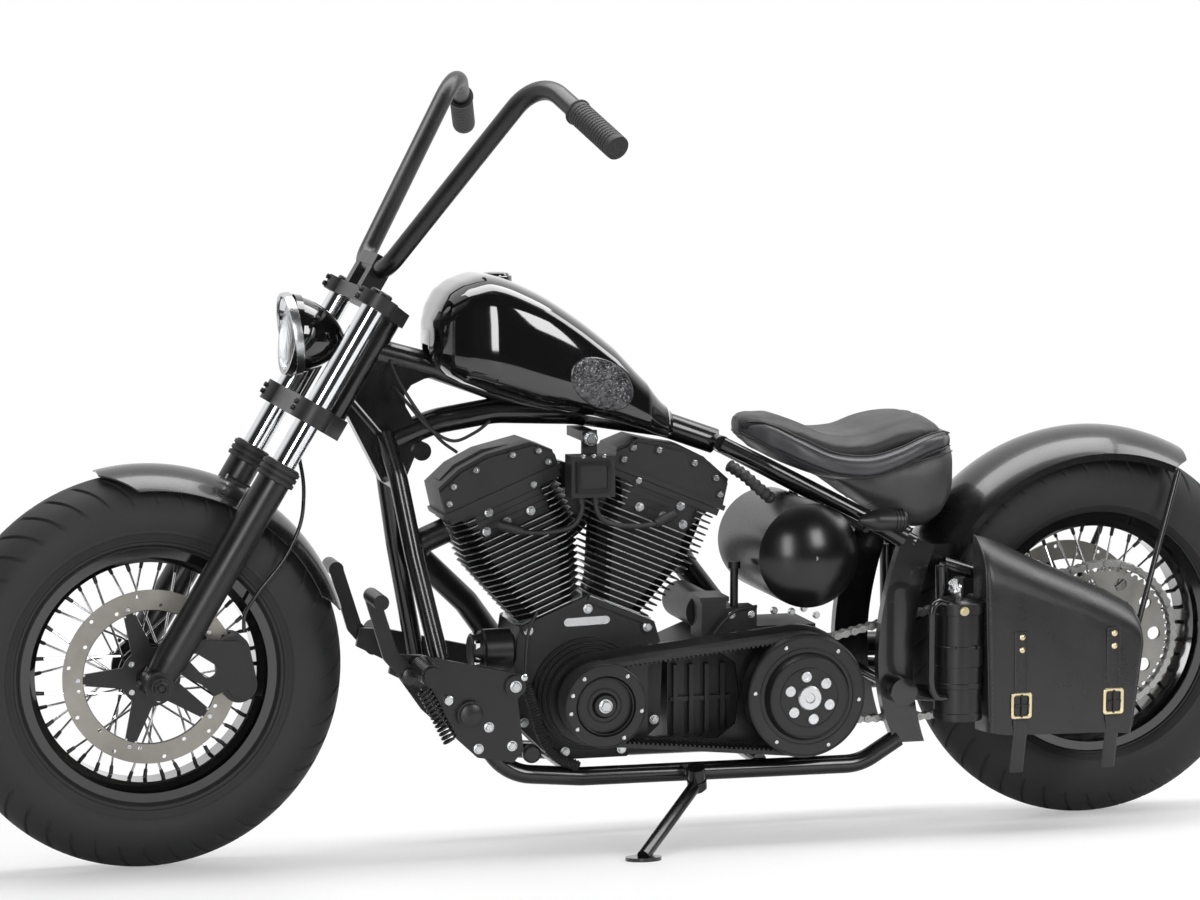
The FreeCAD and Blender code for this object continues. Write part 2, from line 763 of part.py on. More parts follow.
def grip(side):
    """A rubber sleeve on the end of the bar."""
    end = bar_left[-1]
    run = (bar_left[-2] - end).normalize()
    cap = 4
    start = end - run * cap
    outer = Part.makeCylinder(dim.grip_radius, dim.grip_length, start, run)
    inner = Part.makeCylinder(dim.bar_radius + dim.running, dim.grip_length, end - run * dim.fit, run)
    shape = outer.cut(inner)
    return shape if side > 0 else shape.mirror(HERE, Y)


subpart("grips", FORK, shaped("left_grip", grip(1)), shaped("right_grip", grip(-1)))

riser_base = dim.fork_tube_top
riser_pieces = []
for riser_side in (1, -1):
    riser_pieces.append(box("riser", (34, 26, 56), (
        -12, riser_side * dim.riser_spacing - 13, riser_base + dim.fit)))
riser_bridge = box("riser_bridge", (36, 2 * dim.riser_spacing + 26, 22),
                   (-13, -dim.riser_spacing - 13, BAR_Z - 4))
riser_bore = crosswise("riser_bore", dim.bar_radius + dim.running, -90, 90, BAR_X, BAR_Z)
subpart("bar_risers", FORK, cut("risers_bored", fuse("risers_solid", riser_bridge, *riser_pieces),
                                riser_bore))

# The headlight: a deep bowl with a flat front, and its lens.
LAMP = Placement(Vector(dim.lamp_x, 0, dim.lamp_z), Rotation(Z, -90) * Rotation(X, dim.lamp_tilt))
lamp_frame = STEERED * LAMP
bowl = lathe("lamp_bowl", [
    (-dim.lamp_depth, 0), (-dim.lamp_depth, 18, -dim.lamp_radius * 1.7),
    (-12, dim.lamp_radius - 3), (-12, dim.lamp_radius), (0, dim.lamp_radius),
    (0, dim.lamp_radius - 5), (-10, dim.lamp_radius - 5),
    (-14, dim.lamp_radius - 7, dim.lamp_radius * 1.7),
    (-dim.lamp_depth + 5, 14), (-dim.lamp_depth + 5, 0)])
subpart("headlight", lamp_frame, bowl)


def lamp_post():
    """The short post that holds the headlight on the lower clamp."""
    top = dim.lower_clamp_level + dim.lower_clamp_height
    post = Part.makeCylinder(8, 60, fork_point(4, 0, top + dim.fit), FORK_UP)
    doc.recompute()
    shell = bowl.Shape.copy()
    shell.Placement = LAMP
    shell.translate(-FORK_UP * dim.fit)
    return min(post.cut(shell).Solids, key=lambda solid: solid.CenterOfMass.z)


subpart("lamp_post", STEERED, shaped("lamp_post_stub", lamp_post()))
lens_edge = dim.lamp_radius - 5 - dim.fit
lens_curve = (lens_edge * lens_edge + dim.lens_bulge * dim.lens_bulge) / (dim.lens_bulge * 2)
lens = lathe("lens_disc", [(-4, 0), (-4, lens_edge), (0, lens_edge, -lens_curve),
                           (dim.lens_bulge, 0)])
subpart("headlight_lens", lamp_frame, lens)


def fender_wire(edge_radius, hip_radius, crown_radius, half_width):
    """The outline of a fender's section: straight sides under an arched crown."""
    hip = Vector(hip_radius, half_width, 0)
    low = Vector(edge_radius, half_width, 0)
    mirror_hip, mirror_low = Vector(hip.x, -hip.y, 0), Vector(low.x, -low.y, 0)
    return [Part.LineSegment(low, hip).toShape(),
            Part.Arc(hip, Vector(crown_radius, 0, 0), mirror_hip).toShape(),
            Part.LineSegment(mirror_hip, mirror_low).toShape(),
            Part.LineSegment(mirror_low, low).toShape()]


def fender_shape(centre, radius, edge_radius, half_width, first, last):
    """A rolled fender: an arched section swept round the wheel between two angles."""
    skin = dim.fender_skin
    hip = radius - half_width * 0.42
    outer = Part.Face(Part.Wire(fender_wire(edge_radius, hip, radius, half_width)))
    inner = Part.Face(Part.Wire(fender_wire(edge_radius - 5, hip - skin / 2, radius - skin,
                                            half_width - skin)))
    face = outer.cut(inner).Faces[0]
    face.rotate(HERE, Y, -first)
    solid = face.revolve(HERE, -Y, last - first)
    solid.translate(centre)
    return solid


def corner_cuts(centre, radius, half_width, angle, way, depth, inward):
    """Wedges that slant the corners at one end of a fender, so that it ends in a tip."""
    turn = math.radians(angle)
    out = Vector(math.cos(turn), 0, math.sin(turn))
    along = Vector(-math.sin(turn), 0, math.cos(turn)) * way
    low = centre + out * (radius - 90) - along * 6
    wedges = []
    for side in (Y, -Y):
        corners = [low + side * (half_width + 6), low + side * (half_width + 6) + along * depth,
                   low + side * (half_width - inward)]
        wedges.append(Part.Face(Part.makePolygon(corners + corners[:1])).extrude(out * 130))
    return wedges


def front_fender():
    """The front fender, with a bracket on each side that reaches its slider."""
    skin = fender_shape(FRONT_AXLE, dim.front_fender_radius, dim.front_fender_edge_radius,
                        dim.front_fender_half_width, dim.front_fender_front, dim.front_fender_rear)
    brackets = []
    for side in (1, -1):
        depth = BOSS_FACE - dim.fit - dim.front_fender_half_width + 1
        block = Part.makeBox(46, depth, 44)
        low = dim.front_fender_half_width - 1 if side > 0 else -(BOSS_FACE - dim.fit)
        block.Placement = Placement(fork_point(-23, low, dim.front_fender_edge_radius - 4),
                                    Rotation(Y, -dim.rake))
        brackets.append(block)
    ends = ((dim.front_fender_front, 1, 66, 58), (dim.front_fender_rear, -1, 54, 46))
    for angle, way, depth, inward in ends:
        skin = skin.cut(corner_cuts(FRONT_AXLE, dim.front_fender_radius, dim.front_fender_half_width,
                                    angle, way, depth, inward))
    return skin.fuse(brackets)


subpart("front_fender", STEERED, shaped("front_fender_whole", front_fender()))


def caliper(body, axle, disc_y):
    """A caliper body with a slot that its disc runs through."""
    slot = Part.makeCylinder(dim.disc_radius + 5, dim.disc_thickness + 10,
                             axle + Y * (disc_y - dim.disc_thickness / 2 - 5), Y)
    return body.cut(slot)


def front_caliper():
    """The front caliper and the lug that bolts it to the left slider."""
    outer = BOSS_FACE - dim.fit
    inner = dim.front_disc_y - 26
    upper, lower = (708, 376), (700, 318)
    body = Part.Face(loop(upper, 26, lower, 30)).extrude(Y * (outer - 4 - inner))
    rib = Part.Face(loop(upper, 17, lower, 21)).extrude(Y * (outer - inner))
    body = body.fuse(rib)
    body.translate(Y * inner)
    body = caliper(body, FRONT_AXLE, dim.front_disc_y)
    corners = [(704, 320), (706, 392), (786, 400), (822, 374), (816, 350), (764, 322), (742, 302)]
    ring = [Vector(x, outer - 8, z) for x, z in corners]
    lug = Part.Face(Part.makePolygon(ring + ring[:1])).extrude(Y * 8)
    window = Part.Face(loop((752, 346), 13, (775, 366), 9)).extrude(Y * 20)
    window.translate(Y * (outer - 14))
    return body.fuse(lug.cut(window))


subpart("front_caliper", STEERED, shaped("front_caliper_block", front_caliper()))
hose_route = [fork_point(-16, 78, 491), Vector(600, 86, 716), Vector(588, 88, 650),
              Vector(592, 88.5, 585), Vector(622, 88, 525), Vector(668, 84, 470), Vector(690, 79, 435),
              Vector(690, 79, 404.8)]
subpart("brake_hose", STEERED, shaped("hose_tube", tube(hose_route, 3.2, 200)))


# ---------------------------------------------------------------- frame

CASE_LOW = float(dim.crank_z) - 112
GEARBOX_LOW = 160
STAND_PIVOT = Vector(dim.stand_x, dim.stand_y, dim.stand_z)
STAND_FOOT = BIKE.inverse().multVec(Vector(
    dim.stand_foot_x, BIKE.multVec(STAND_PIVOT).y + 150, dim.stand_foot_thickness))
STAND_FOLDED = Vector(-0.985, 0.12, 0.12)
STAND_AXIS = (STAND_FOOT - STAND_PIVOT).cross(STAND_FOLDED).normalize()


def stand_pivot():
    """The side stand's pivot on the left belly rail: a boss, its pin and the pin's head."""
    half = dim.stand_eye_height / 2
    boss = Part.makeCylinder(dim.stand_eye_radius - 2, 24,
                             STAND_PIVOT + STAND_AXIS * (half + 0.5), STAND_AXIS)
    web = Part.makeBox(34, 40, 12, Vector(dim.stand_x - 12, RAIL_Y, BELLY_Z - 15))
    pin = Part.makeCylinder(dim.stand_pin_radius, dim.stand_eye_height + 12,
                            STAND_PIVOT - STAND_AXIS * (half + 4), STAND_AXIS)
    head = Part.makeCylinder(dim.stand_pin_radius + 4, 5,
                             STAND_PIVOT - STAND_AXIS * (half + 5.5), STAND_AXIS)
    return [boss, web, pin, head]


def steering_axis_point(up):
    """A place on the steering axis, in the upright machine."""
    return fork_point(-dim.fork_offset, 0, up)


TUNNEL_HALF = float(dim.backbone_radius) + 8
NECK_HALF = 17
BOSS_HALF = NECK_HALF + 8
HEAD_LOW = dim.lower_clamp_level + dim.lower_clamp_height + 0.5
HEAD_HIGH = dim.upper_clamp_level - 0.5
RAIL_Y = float(dim.rail_half_spacing)
BELLY_Z = float(dim.belly_height)


def frame_spine():
    """The steering head, the two top tubes that meet behind the tank, and the neck gussets."""
    radius = dim.backbone_radius
    head = Part.makeCylinder(dim.head_tube_radius, HEAD_HIGH - HEAD_LOW,
                             steering_axis_point(HEAD_LOW), FORK_UP)
    upper = tube([steering_axis_point(HEAD_HIGH - 58), (350, 0, 833), (130, 0, 752)], radius, 120)
    lower = tube([(431, 0, 705), (345, 0, 738), (240, 0, 754), (100, 0, 748), (-60, 0, 722),
                  (-150, 0, 690)], radius, 160)
    neck = tube([steering_axis_point(HEAD_LOW + 40), (431, 0, 705), (418, 0, 640)], radius - 4, 30)
    cross = Part.makeCylinder(radius - 8, 2 * 52, Vector(-150, -52, 690), Y)
    foot = Part.makeCylinder(radius - 8, 2 * 67, Vector(418, -67, 640), Y)
    pins = [Part.makeCylinder(8, 2 * (TUNNEL_HALF - dim.fit), Vector(x, -TUNNEL_HALF + dim.fit, z), Y)
            for x, z in ((290, 812), (-20, 731))]
    # The gusset's side outline runs down the head, and is hollowed at its back.
    casting = [Vector(x, 0, z) for x, z in (
        (430, 872), (345, 836), (345, 816), (366, 812), (388, 802), (400, 786), (398, 766),
        (384, 742), (362, 726), (372, 706), (400, 640), (440, 640))]
    casting += [steering_axis_point(HEAD_LOW + 26), steering_axis_point(HEAD_HIGH - 40)]
    gusset = Part.Face(Part.makePolygon(casting + casting[:1])).extrude(Y * 2 * NECK_HALF)
    gusset.translate(-Y * NECK_HALF)
    boss = Part.makeCylinder(16, 2 * BOSS_HALF, Vector(372, -BOSS_HALF, 690), Y)
    solid = head.fuse([upper, lower, neck, cross, foot, gusset, boss] + pins)
    bore = Part.makeCylinder(dim.stem_radius + dim.running, 400, steering_axis_point(400), FORK_UP)
    return solid.cut(bore).removeSplitter()


def frame_cradle():
    """Down tubes, belly rails and the members across them."""
    side = tube([(436, 24, 722), (420, 56, 650), (398, 78, 520), (352, RAIL_Y, 300),
                 (250, RAIL_Y, BELLY_Z - 4), (120, RAIL_Y, BELLY_Z - 16),
                 (-380, RAIL_Y, BELLY_Z - 20), (-450, RAIL_Y, BELLY_Z + 22)],
                dim.rail_radius, dim.frame_bend)
    member = dim.rail_radius - 4
    seats = ((132, CASE_LOW), (-200, GEARBOX_LOW))
    members = [Part.makeCylinder(member, 2 * (RAIL_Y - 4),
                                 Vector(x, 4 - RAIL_Y, low - dim.fit - member), Y)
               for x, low in seats]
    pieces = both_sides(side) + members + stand_pivot()
    return pieces[0].fuse(pieces[1:]).removeSplitter()


def seat_rails():
    """The rails that carry the seat, from the top tube back to the posts."""
    rail = tube([(-150, 52, 690), (-225, 74, 652), (-395, 98, 562), (-478, RAIL_Y - 2, 516)],
                dim.seat_rail_radius, dim.frame_bend)
    start, end = Vector(-399, 98.9, 559.8), Vector(-462, 112.6, 524.9)
    sleeve = Part.makeCone(dim.seat_rail_radius + 3, dim.seat_rail_radius + 8, (end - start).Length,
                           start, end - start)
    return rail.fuse(sleeve)


POST_LOW = float(dim.chain_y + dim.chain_width / 2 + 3)
POST_HIGH = POST_LOW + float(dim.post_thickness)
PIVOT_X, PIVOT_Z = -447, 262


def seat_post():
    """A cast post from the seat rail down to the belly rail, bowed round the oil tank."""
    rear_line = [(-512, 512), (-490, 440), (-474, 345), (-477, 250), (-496, 168)]
    front_line = [(-442, 168), (-414, 262), (-411, 340), (-424, 430), (-455, 532)]
    edges = []
    for line in (rear_line, front_line):
        curve = Part.BSplineCurve()
        curve.interpolate([Vector(x, POST_LOW, z) for x, z in line])
        edges.append(curve.toShape())
    for start, end in ((rear_line[-1], front_line[0]), (front_line[-1], rear_line[0])):
        edges.append(Part.LineSegment(Vector(start[0], POST_LOW, start[1]),
                                      Vector(end[0], POST_LOW, end[1])).toShape())
    post = Part.Face(Part.Wire(Part.__sortEdges__(edges))).extrude(Y * (POST_HIGH - POST_LOW))
    hole = Part.makeCylinder(dim.swingarm_radius - 3 + dim.running, 60,
                             Vector(PIVOT_X, POST_LOW - 20, PIVOT_Z), Y)
    return post.cut(hole)


spine_shape = frame_spine()
cradle_shape = frame_cradle().cut(spine_shape)
rear_side = seat_rails().fuse(seat_post()).cut(spine_shape).cut(cradle_shape)
subpart("frame_spine", BIKE, shaped("spine", spine_shape))
subpart("frame_cradle", BIKE, shaped("cradle", cradle_shape))
subpart("rear_frame", BIKE, *[shaped("rear_side", piece) for piece in both_sides(rear_side)])

ARM_Y = float(dim.swingarm_half_spacing)
AXLE_X = -float(dim.wheelbase) / 2
AXLE_Z = float(dim.tyre_radius)


def swingarm():
    """A triangulated rear fork with an axle plate on each side."""
    radius = dim.swingarm_radius
    top = tube([(-520, ARM_Y, 480), (-600, ARM_Y, 455), (AXLE_X + 24, ARM_Y, AXLE_Z + 24)], radius, 90)
    low = tube([(PIVOT_X, ARM_Y, PIVOT_Z), (-640, ARM_Y, 238), (AXLE_X + 24, ARM_Y, AXLE_Z - 18)],
               radius, 200)
    post = tube([(-522, ARM_Y, 478), (-524, ARM_Y, 360), (-514, ARM_Y, 254)], radius, 60)
    eye = Part.makeCylinder(24, 2 * (ARM_Y - POST_HIGH - dim.fit),
                            Vector(PIVOT_X, POST_HIGH + dim.fit, PIVOT_Z), Y)
    plate_shape = Part.makeBox(90, 12, 66, Vector(AXLE_X - 38, ARM_Y - 6, AXLE_Z - 33))
    pivot = Part.makeCylinder(radius - 3, ARM_Y, Vector(PIVOT_X, 0, PIVOT_Z), Y)
    side = top.fuse([low, post, eye, plate_shape, pivot])
    hole = Part.makeCylinder(dim.axle_radius + dim.running, 60,
                             Vector(AXLE_X, ARM_Y - 30, AXLE_Z), Y)
    side = side.cut(hole)
    return side.fuse(side.mirror(HERE, Y))


subpart("swingarm", BIKE, shaped("swingarm_weldment", swingarm()))

rear_spindle = crosswise("rear_spindle", dim.axle_radius, -(ARM_Y + 13), ARM_Y + 13)
rear_spacers = [
    crosswise("rear_spacer", dim.axle_radius + 6, dim.rear_hub_left + 0.5, ARM_Y - 6 - dim.fit),
    crosswise("rear_spacer", dim.axle_radius + 6, -(ARM_Y - 6 - dim.fit), -(dim.rear_hub_right + 0.5))]
rear_nuts = [
    crosswise("rear_nut", dim.axle_radius + 6, ARM_Y + 6 + dim.fit, ARM_Y + 13),
    crosswise("rear_nut", dim.axle_radius + 6, -(ARM_Y + 13), -(ARM_Y + 6 + dim.fit))]
rear_bore = crosswise("rear_axle_bore", dim.axle_bore_radius, -200, 200)
rear_spindle_whole = fuse("rear_spindle_whole", rear_spindle, *(rear_spacers + rear_nuts))
subpart("rear_axle", REAR_WHEEL, cut("rear_axle_hollow", rear_spindle_whole, rear_bore))


def rear_fender():
    """The rear fender, with a bracket on each side that reaches its seat post."""
    skin = fender_shape(REAR_AXLE, dim.rear_fender_radius, dim.rear_fender_edge_radius,
                        dim.rear_fender_half_width, dim.rear_fender_front, dim.rear_fender_rear)
    depth = POST_LOW - dim.fit - dim.rear_fender_half_width + 1
    bracket = Part.makeBox(52, depth, 26, Vector(-556, dim.rear_fender_half_width - 1, 484))
    skin = skin.cut(corner_cuts(REAR_AXLE, dim.rear_fender_radius, dim.rear_fender_half_width,
                                dim.rear_fender_rear, -1, 34, 34))
    return skin.fuse([bracket, bracket.mirror(HERE, Y)])


subpart("rear_fender", BIKE, shaped("rear_fender_whole", rear_fender()))
STAY_RADIUS = 5
stay = tube([(-975, dim.rear_fender_half_width + STAY_RADIUS + dim.fit, 624),
             (AXLE_X - 36, ARM_Y + 6 + STAY_RADIUS + dim.fit * 5, AXLE_Z + 22)], STAY_RADIUS)
subpart("fender_stays", BIKE, *[shaped("fender_stay", piece) for piece in both_sides(stay)])

REAR_CALIPER_OUTER = ARM_Y - dim.swingarm_radius - dim.fit
rear_block = Part.Face(loop((-718, 408), 29, (-748, 404), 29)).extrude(Y * (REAR_CALIPER_OUTER - 60))
rear_block.translate(-Y * REAR_CALIPER_OUTER)
rear_caliper = caliper(rear_block, REAR_AXLE, -dim.rear_disc_y)
subpart("rear_caliper", BIKE, shaped("rear_caliper_block", rear_caliper))


# ---------------------------------------------------------------- engine

ENGINE = Vector(dim.engine_x, 0, dim.crank_z)


def along_cylinder(across, up, lean):
    """A place on a leaning cylinder: outward from its axis, and up it from the crank."""
    angle = math.radians(lean)
    return Vector(math.sin(angle) * up + math.cos(angle) * across * (1 if lean > 0 else -1), 0,
                  math.cos(angle) * up - abs(math.sin(angle)) * across)


def block_on_cylinder(corners, low, high, lean):
    """A slab of side outline (outward, up) across a leaning cylinder."""
    points = [ENGINE + along_cylinder(across, up, lean) + Y * low for across, up in corners]
    face = Part.Face(Part.makePolygon(points + points[:1]))
    return face.extrude(Y * (high - low))


def fin_outline(up, ahead, index, inset):
    """The plan of one fin, with its corners cut off; the inset makes it smaller all round."""
    growth = min(index / WIDEST_FIN, 1)
    half = dim.fin_low_half + (dim.fin_high_half - dim.fin_low_half) * growth - inset
    side, corner = dim.fin_half_depth - inset, 24
    level = dim.barrel_base + 2 + index * dim.fin_pitch
    ring = [(half, side - corner), (half - corner, side), (corner - half, side),
            (-half, side - corner), (-half, corner - side), (corner - half, -side),
            (half - corner, -side), (half, corner - side)]
    points = [ENGINE + up * level + ahead * across + Y * y for across, y in ring]
    return Part.makePolygon(points + points[:1])


FIN_COUNT = int((dim.head_top - dim.barrel_base) / dim.fin_pitch)
WIDEST_FIN = FIN_COUNT - 8
BAY_HALF = 62
PORT_LEVEL = dim.head_top - 36


def finned_cylinder(lean):
    """A barrel and head: a bored block whose fins grow wider towards the head."""
    angle = math.radians(lean)
    up = Vector(math.sin(angle), 0, math.cos(angle))
    ahead = Vector(math.cos(angle), 0, -math.sin(angle))
    top = dim.head_top
    reach = dim.fin_reach
    depth = float(dim.fin_half_depth)
    barrel = Part.makeCylinder(dim.barrel_radius, top - dim.barrel_base,
                               ENGINE + up * dim.barrel_base, up)
    pieces = []
    for index in range(FIN_COUNT):
        pieces.append(Part.Face(fin_outline(up, ahead, index, 0)).extrude(up * dim.fin_thickness))
    throat = [fin_outline(up, ahead, index, reach) for index in (0, WIDEST_FIN)]
    pieces.append(Part.makeLoft(throat, True, True))
    pieces.append(Part.Face(throat[1]).extrude(up * (dim.fin_pitch * 7)))
    solid = barrel.fuse(pieces)
    # The head is a plain casting between its inner and outer fins.
    near, far = depth - 11, depth + 5
    bay = [(-BAY_HALF, top - 58), (BAY_HALF, top - 58), (BAY_HALF, top + 9), (-BAY_HALF, top + 9)]
    bays = [block_on_cylinder(bay, low, high, lean) for low, high in ((near, far), (-far, -near))]
    deck = [(-104, top - 12), (-104, top), (102, top), (102, top - 12)]
    shoulders = [(-BAY_HALF, top - 54), (-84, top - 11), (84, top - 11), (BAY_HALF, top - 54)]
    blocks = [block_on_cylinder(deck, -near - 1, near + 1, lean),
              block_on_cylinder(shoulders, -near + 2, near - 2, lean)]
    if lean < 0:
        port = ENGINE + along_cylinder(60, PORT_LEVEL, lean) - Y * depth
        blocks.append(Part.makeCylinder(dim.exhaust_radius + 6, 30, port, Y))
    return solid.cut(bays).fuse(blocks)


# The bolts of a rocker box: (outward from the cylinder's axis, up from the crank).
ROCKER_BOLTS = [(-92, 396), (-84, 420), (-40, 432), (28, 434), (74, 424), (92, 400)]


def rocker_box(lean):
    """The cover over a head's rockers, arched along its top."""
    base = dim.head_top + dim.fit
    half = dim.rocker_half_length
    top = base + dim.rocker_height
    depth = float(dim.rocker_half_width)
    step = 7
    corners = [(-half, base), (-half - 2, base + 34), (-half + 28, top - 12), (0, top),
               (half * 0.5, top - 4), (half - 8, top - 20), (half, base)]
    lower = [(x, max(z - step, base)) for x, z in corners]
    flange = [(-half - 4, base), (-half - 4, base + 9), (half + 3, base + 9), (half + 3, base)]
    solid = block_on_cylinder(corners, step - depth, depth - step, lean)
    layers = [block_on_cylinder(lower, -depth, depth, lean),
              block_on_cylinder(flange, -depth - 3, depth + 3, lean)]
    # Bolt bosses along both sides, and a raised rib over the top joint.
    face = depth + 1.5
    for x, z in ROCKER_BOLTS:
        centre = ENGINE + along_cylinder(x, z, lean)
        layers.append(Part.makeCylinder(7.5, 2 * face, centre - Y * face, Y))
    rib = [(-half + 34, top - 13), (-2, top + 4), (half * 0.5, top), (half - 20, top - 14),
           (half - 30, top - 24), (-half + 40, top - 24)]
    layers.append(block_on_cylinder(rib, -22, 22, lean))
    return solid.fuse(layers)


for name, lean in (("front", float(dim.cylinder_angle)), ("rear", -float(dim.cylinder_angle))):
    subpart(name + "_cylinder", BIKE, shaped(name + "_barrel", finned_cylinder(lean)))
    subpart(name + "_rocker_box", BIKE, shaped(name + "_rocker_cover", rocker_box(lean)))


# The bolt bosses round the crankcase's joint, from the crank.
CASE_BOLTS = [(104, 114), (116, 18), (112, -44), (40, -98), (-60, -98), (-118, -50), (-122, 58),
              (-106, 112)]


def crankcase():
    """The two crankcase halves: a round belly under two decks square to the cylinders."""
    half = float(dim.case_half_width)
    x, z = dim.engine_x, dim.crank_z
    deck = float(dim.barrel_base) - dim.fit
    lean = float(dim.cylinder_angle)
    apex = deck / math.cos(math.radians(lean))
    front_end = ENGINE + along_cylinder(64, deck, lean)
    rear_end = ENGINE + along_cylinder(64, deck, -lean)
    points = [Vector(x, -half, z + apex), Vector(front_end.x, -half, front_end.z),
              Vector(x + 128, -half, z + 60), Vector(x + 122, -half, z - 50),
              Vector(x + 60, -half, CASE_LOW), Vector(x - 70, -half, CASE_LOW),
              Vector(x - 128, -half, z - 60), Vector(x - 134, -half, z + 70),
              Vector(rear_end.x, -half, rear_end.z)]
    case = Part.Face(Part.makePolygon(points + points[:1])).extrude(Y * 2 * half)
    # The left side steps out towards the primary drive in four rings.
    steps = ((98, half + 8), (92, half + 18), (86, half + 30), (80, dim.primary_plate_y - dim.fit))
    pieces = [Part.makeCylinder(radius, end - half + 5, ENGINE + Y * (half - 5), Y)
              for radius, end in steps]
    for across, up in CASE_BOLTS:
        pieces.append(Part.makeCylinder(11, 2 * half + 6, ENGINE + Vector(across, -half - 3, up), Y))
    deck_line = [(-62, deck - 9), (62, deck - 9), (62, deck), (-62, deck)]
    for way in (1, -1):
        pieces.append(block_on_cylinder(deck_line, -half - 5, half + 5, way * lean))
    return case.fuse(pieces).removeSplitter()


subpart("crankcase", BIKE, shaped("crankcase_halves", crankcase()))
cam_cover = crosswise("cam_cover_disc", 82, -(dim.case_half_width + 26),
                      -(dim.case_half_width + dim.fit), dim.engine_x, dim.crank_z + 20)


def pushrod(lean, across):
    """One pushrod tube, from the cam cover up to its rocker box."""
    foot = ENGINE + along_cylinder(across * 0.5, 96, lean) - Y * (dim.case_half_width + 14)
    head = ENGINE + along_cylinder(across, dim.head_top - dim.fit, lean)
    return tube([foot, head - Y * (dim.case_half_width + 9)], 8)


pushrods = [shaped("pushrod", pushrod(side * float(dim.cylinder_angle), across))
            for side in (1, -1) for across in (-44, -14)]
subpart("cam_cover", BIKE, fuse("cam_cover_whole", cam_cover, *pushrods))


def gearbox():
    """The gearbox case behind the engine, and the starter across its top."""
    low = GEARBOX_LOW
    points = [(-44, low + 6), (-44, 330), (-120, 360), (-330, 360), (-368, 330), (-368, 200), (-340, low)]
    ring = [Vector(x, -92, z) for x, z in points]
    left = dim.chain_y - dim.chain_width / 2 - 4
    case = Part.Face(Part.makePolygon(ring + ring[:1])).extrude(Y * (92 + left))
    starter = Part.makeCylinder(33, 150, Vector(-128, -130, 395), Y)
    top_cover = Part.makeBox(130, 120, 12, Vector(-320, -66, 359))
    tower = Part.makeBox(44, 66, 92, Vector(-150, 12, 330))
    tower_cap = Part.makeBox(52, 74, 8, Vector(-154, 8, 421))
    side_box = Part.makeBox(56, 50, 56, Vector(-206, 26, 352))
    ribs = [Part.makeBox(8, 14, 120, Vector(x, left - 2, 196)) for x in (-60, -88, -116, -144)]
    ribs.append(Part.makeBox(108, 10, 8, Vector(-156, left - 2, 252)))
    for x, z in ((-56, 186), (-104, 182), (-160, 182), (-350, 244), (-344, 318)):
        ribs.append(Part.makeCylinder(9, 14, Vector(x, left - 4, z), Y))
    dipstick = Part.makeCylinder(7, 96, Vector(-172, 52, 380), Z)
    dipstick_cap = Part.makeCylinder(11, 12, Vector(-172, 52, 474), Z)
    side_cover = Part.makeCylinder(78, 12, Vector(-240, -103, 268), Y)
    shaft = Part.makeCylinder(16, dim.primary_plate_y - dim.fit - left + 5,
                              Vector(dim.clutch_x, left - 5, dim.clutch_z), Y)
    extras = [starter, shaft, top_cover, tower, tower_cap, side_box, dipstick, dipstick_cap, side_cover]
    return case.fuse(extras + ribs).removeSplitter()


def gearbox_sprocket():
    """The final drive sprocket on the gearbox's output, inside the chain."""
    radius = sprocket_pitch_radius(dim.front_sprocket_teeth) - dim.chain_height / 2 - dim.fit * 3
    low = dim.chain_y - dim.sprocket_thickness / 2
    centre = Vector(dim.clutch_x, low, dim.clutch_z)
    disc = Part.makeCylinder(radius, dim.sprocket_thickness, centre, Y)
    return disc.cut(Part.makeCylinder(16 + dim.running, 40, centre - Y * 10, Y))


subpart("gearbox", BIKE, shaped("gearbox_case", gearbox()),
        shaped("output_sprocket", gearbox_sprocket()))


def band(front, front_radius, rear, rear_radius, thickness, low, high):
    """A solid belt round two wheels."""
    outer = Part.Face(loop(front, front_radius + thickness, rear, rear_radius + thickness))
    inner = Part.Face(loop(front, front_radius, rear, rear_radius))
    solid = outer.cut(inner).extrude(Y * (high - low))
    solid.translate(Y * low)
    return solid


CRANK = (float(dim.engine_x), float(dim.crank_z))
CLUTCH = (float(dim.clutch_x), float(dim.clutch_z))
BELT_LOW = float(dim.belt_y)
BELT_HIGH = BELT_LOW + dim.belt_width
belt = band(CRANK, dim.pulley_radius + dim.fit, CLUTCH, dim.clutch_radius + dim.fit,
            dim.belt_thickness, BELT_LOW, BELT_HIGH)
subpart("primary_belt", BIKE, shaped("belt_band", belt))

motor_face = Part.Face(loop(CRANK, 80, CLUTCH, 112))
WINDOW = [(4, 202), (4, 324), (-36, 336), (-120, 346), (-152, 322), (-160, 270), (-152, 216),
          (-120, 192)]
window_ring = [Vector(x, 0, z) for x, z in WINDOW]
window = Part.Face(Part.makePolygon(window_ring + window_ring[:1]))
motor_plate = motor_face.cut(window).extrude(Y * dim.primary_plate_thickness)
motor_plate.translate(Y * dim.primary_plate_y)
subpart("primary_plate", BIKE, shaped("motor_plate", motor_plate))
PLATE_FACE = dim.primary_plate_y + dim.primary_plate_thickness + dim.fit
BELT_FACE = dim.belt_y + dim.belt_width
pulley = lathe("engine_pulley_turned", [
    (PLATE_FACE, 0), (PLATE_FACE, 26),
    (dim.belt_y - 4, 26), (dim.belt_y - 4, dim.pulley_radius + 8),
    (dim.belt_y - 1, dim.pulley_radius + 8), (dim.belt_y - 1, dim.pulley_radius),
    (BELT_FACE + 1, dim.pulley_radius), (BELT_FACE + 1, dim.pulley_flange_radius),
    (BELT_FACE + 6, dim.pulley_flange_radius),
    (BELT_FACE + 6, 52), (BELT_FACE - 4, 46), (BELT_FACE - 4, 22), (BELT_FACE + 2, 18),
    (BELT_FACE + 2, 0)])
place(pulley, (dim.engine_x, 0, dim.crank_z))
subpart("engine_pulley", BIKE, pulley)
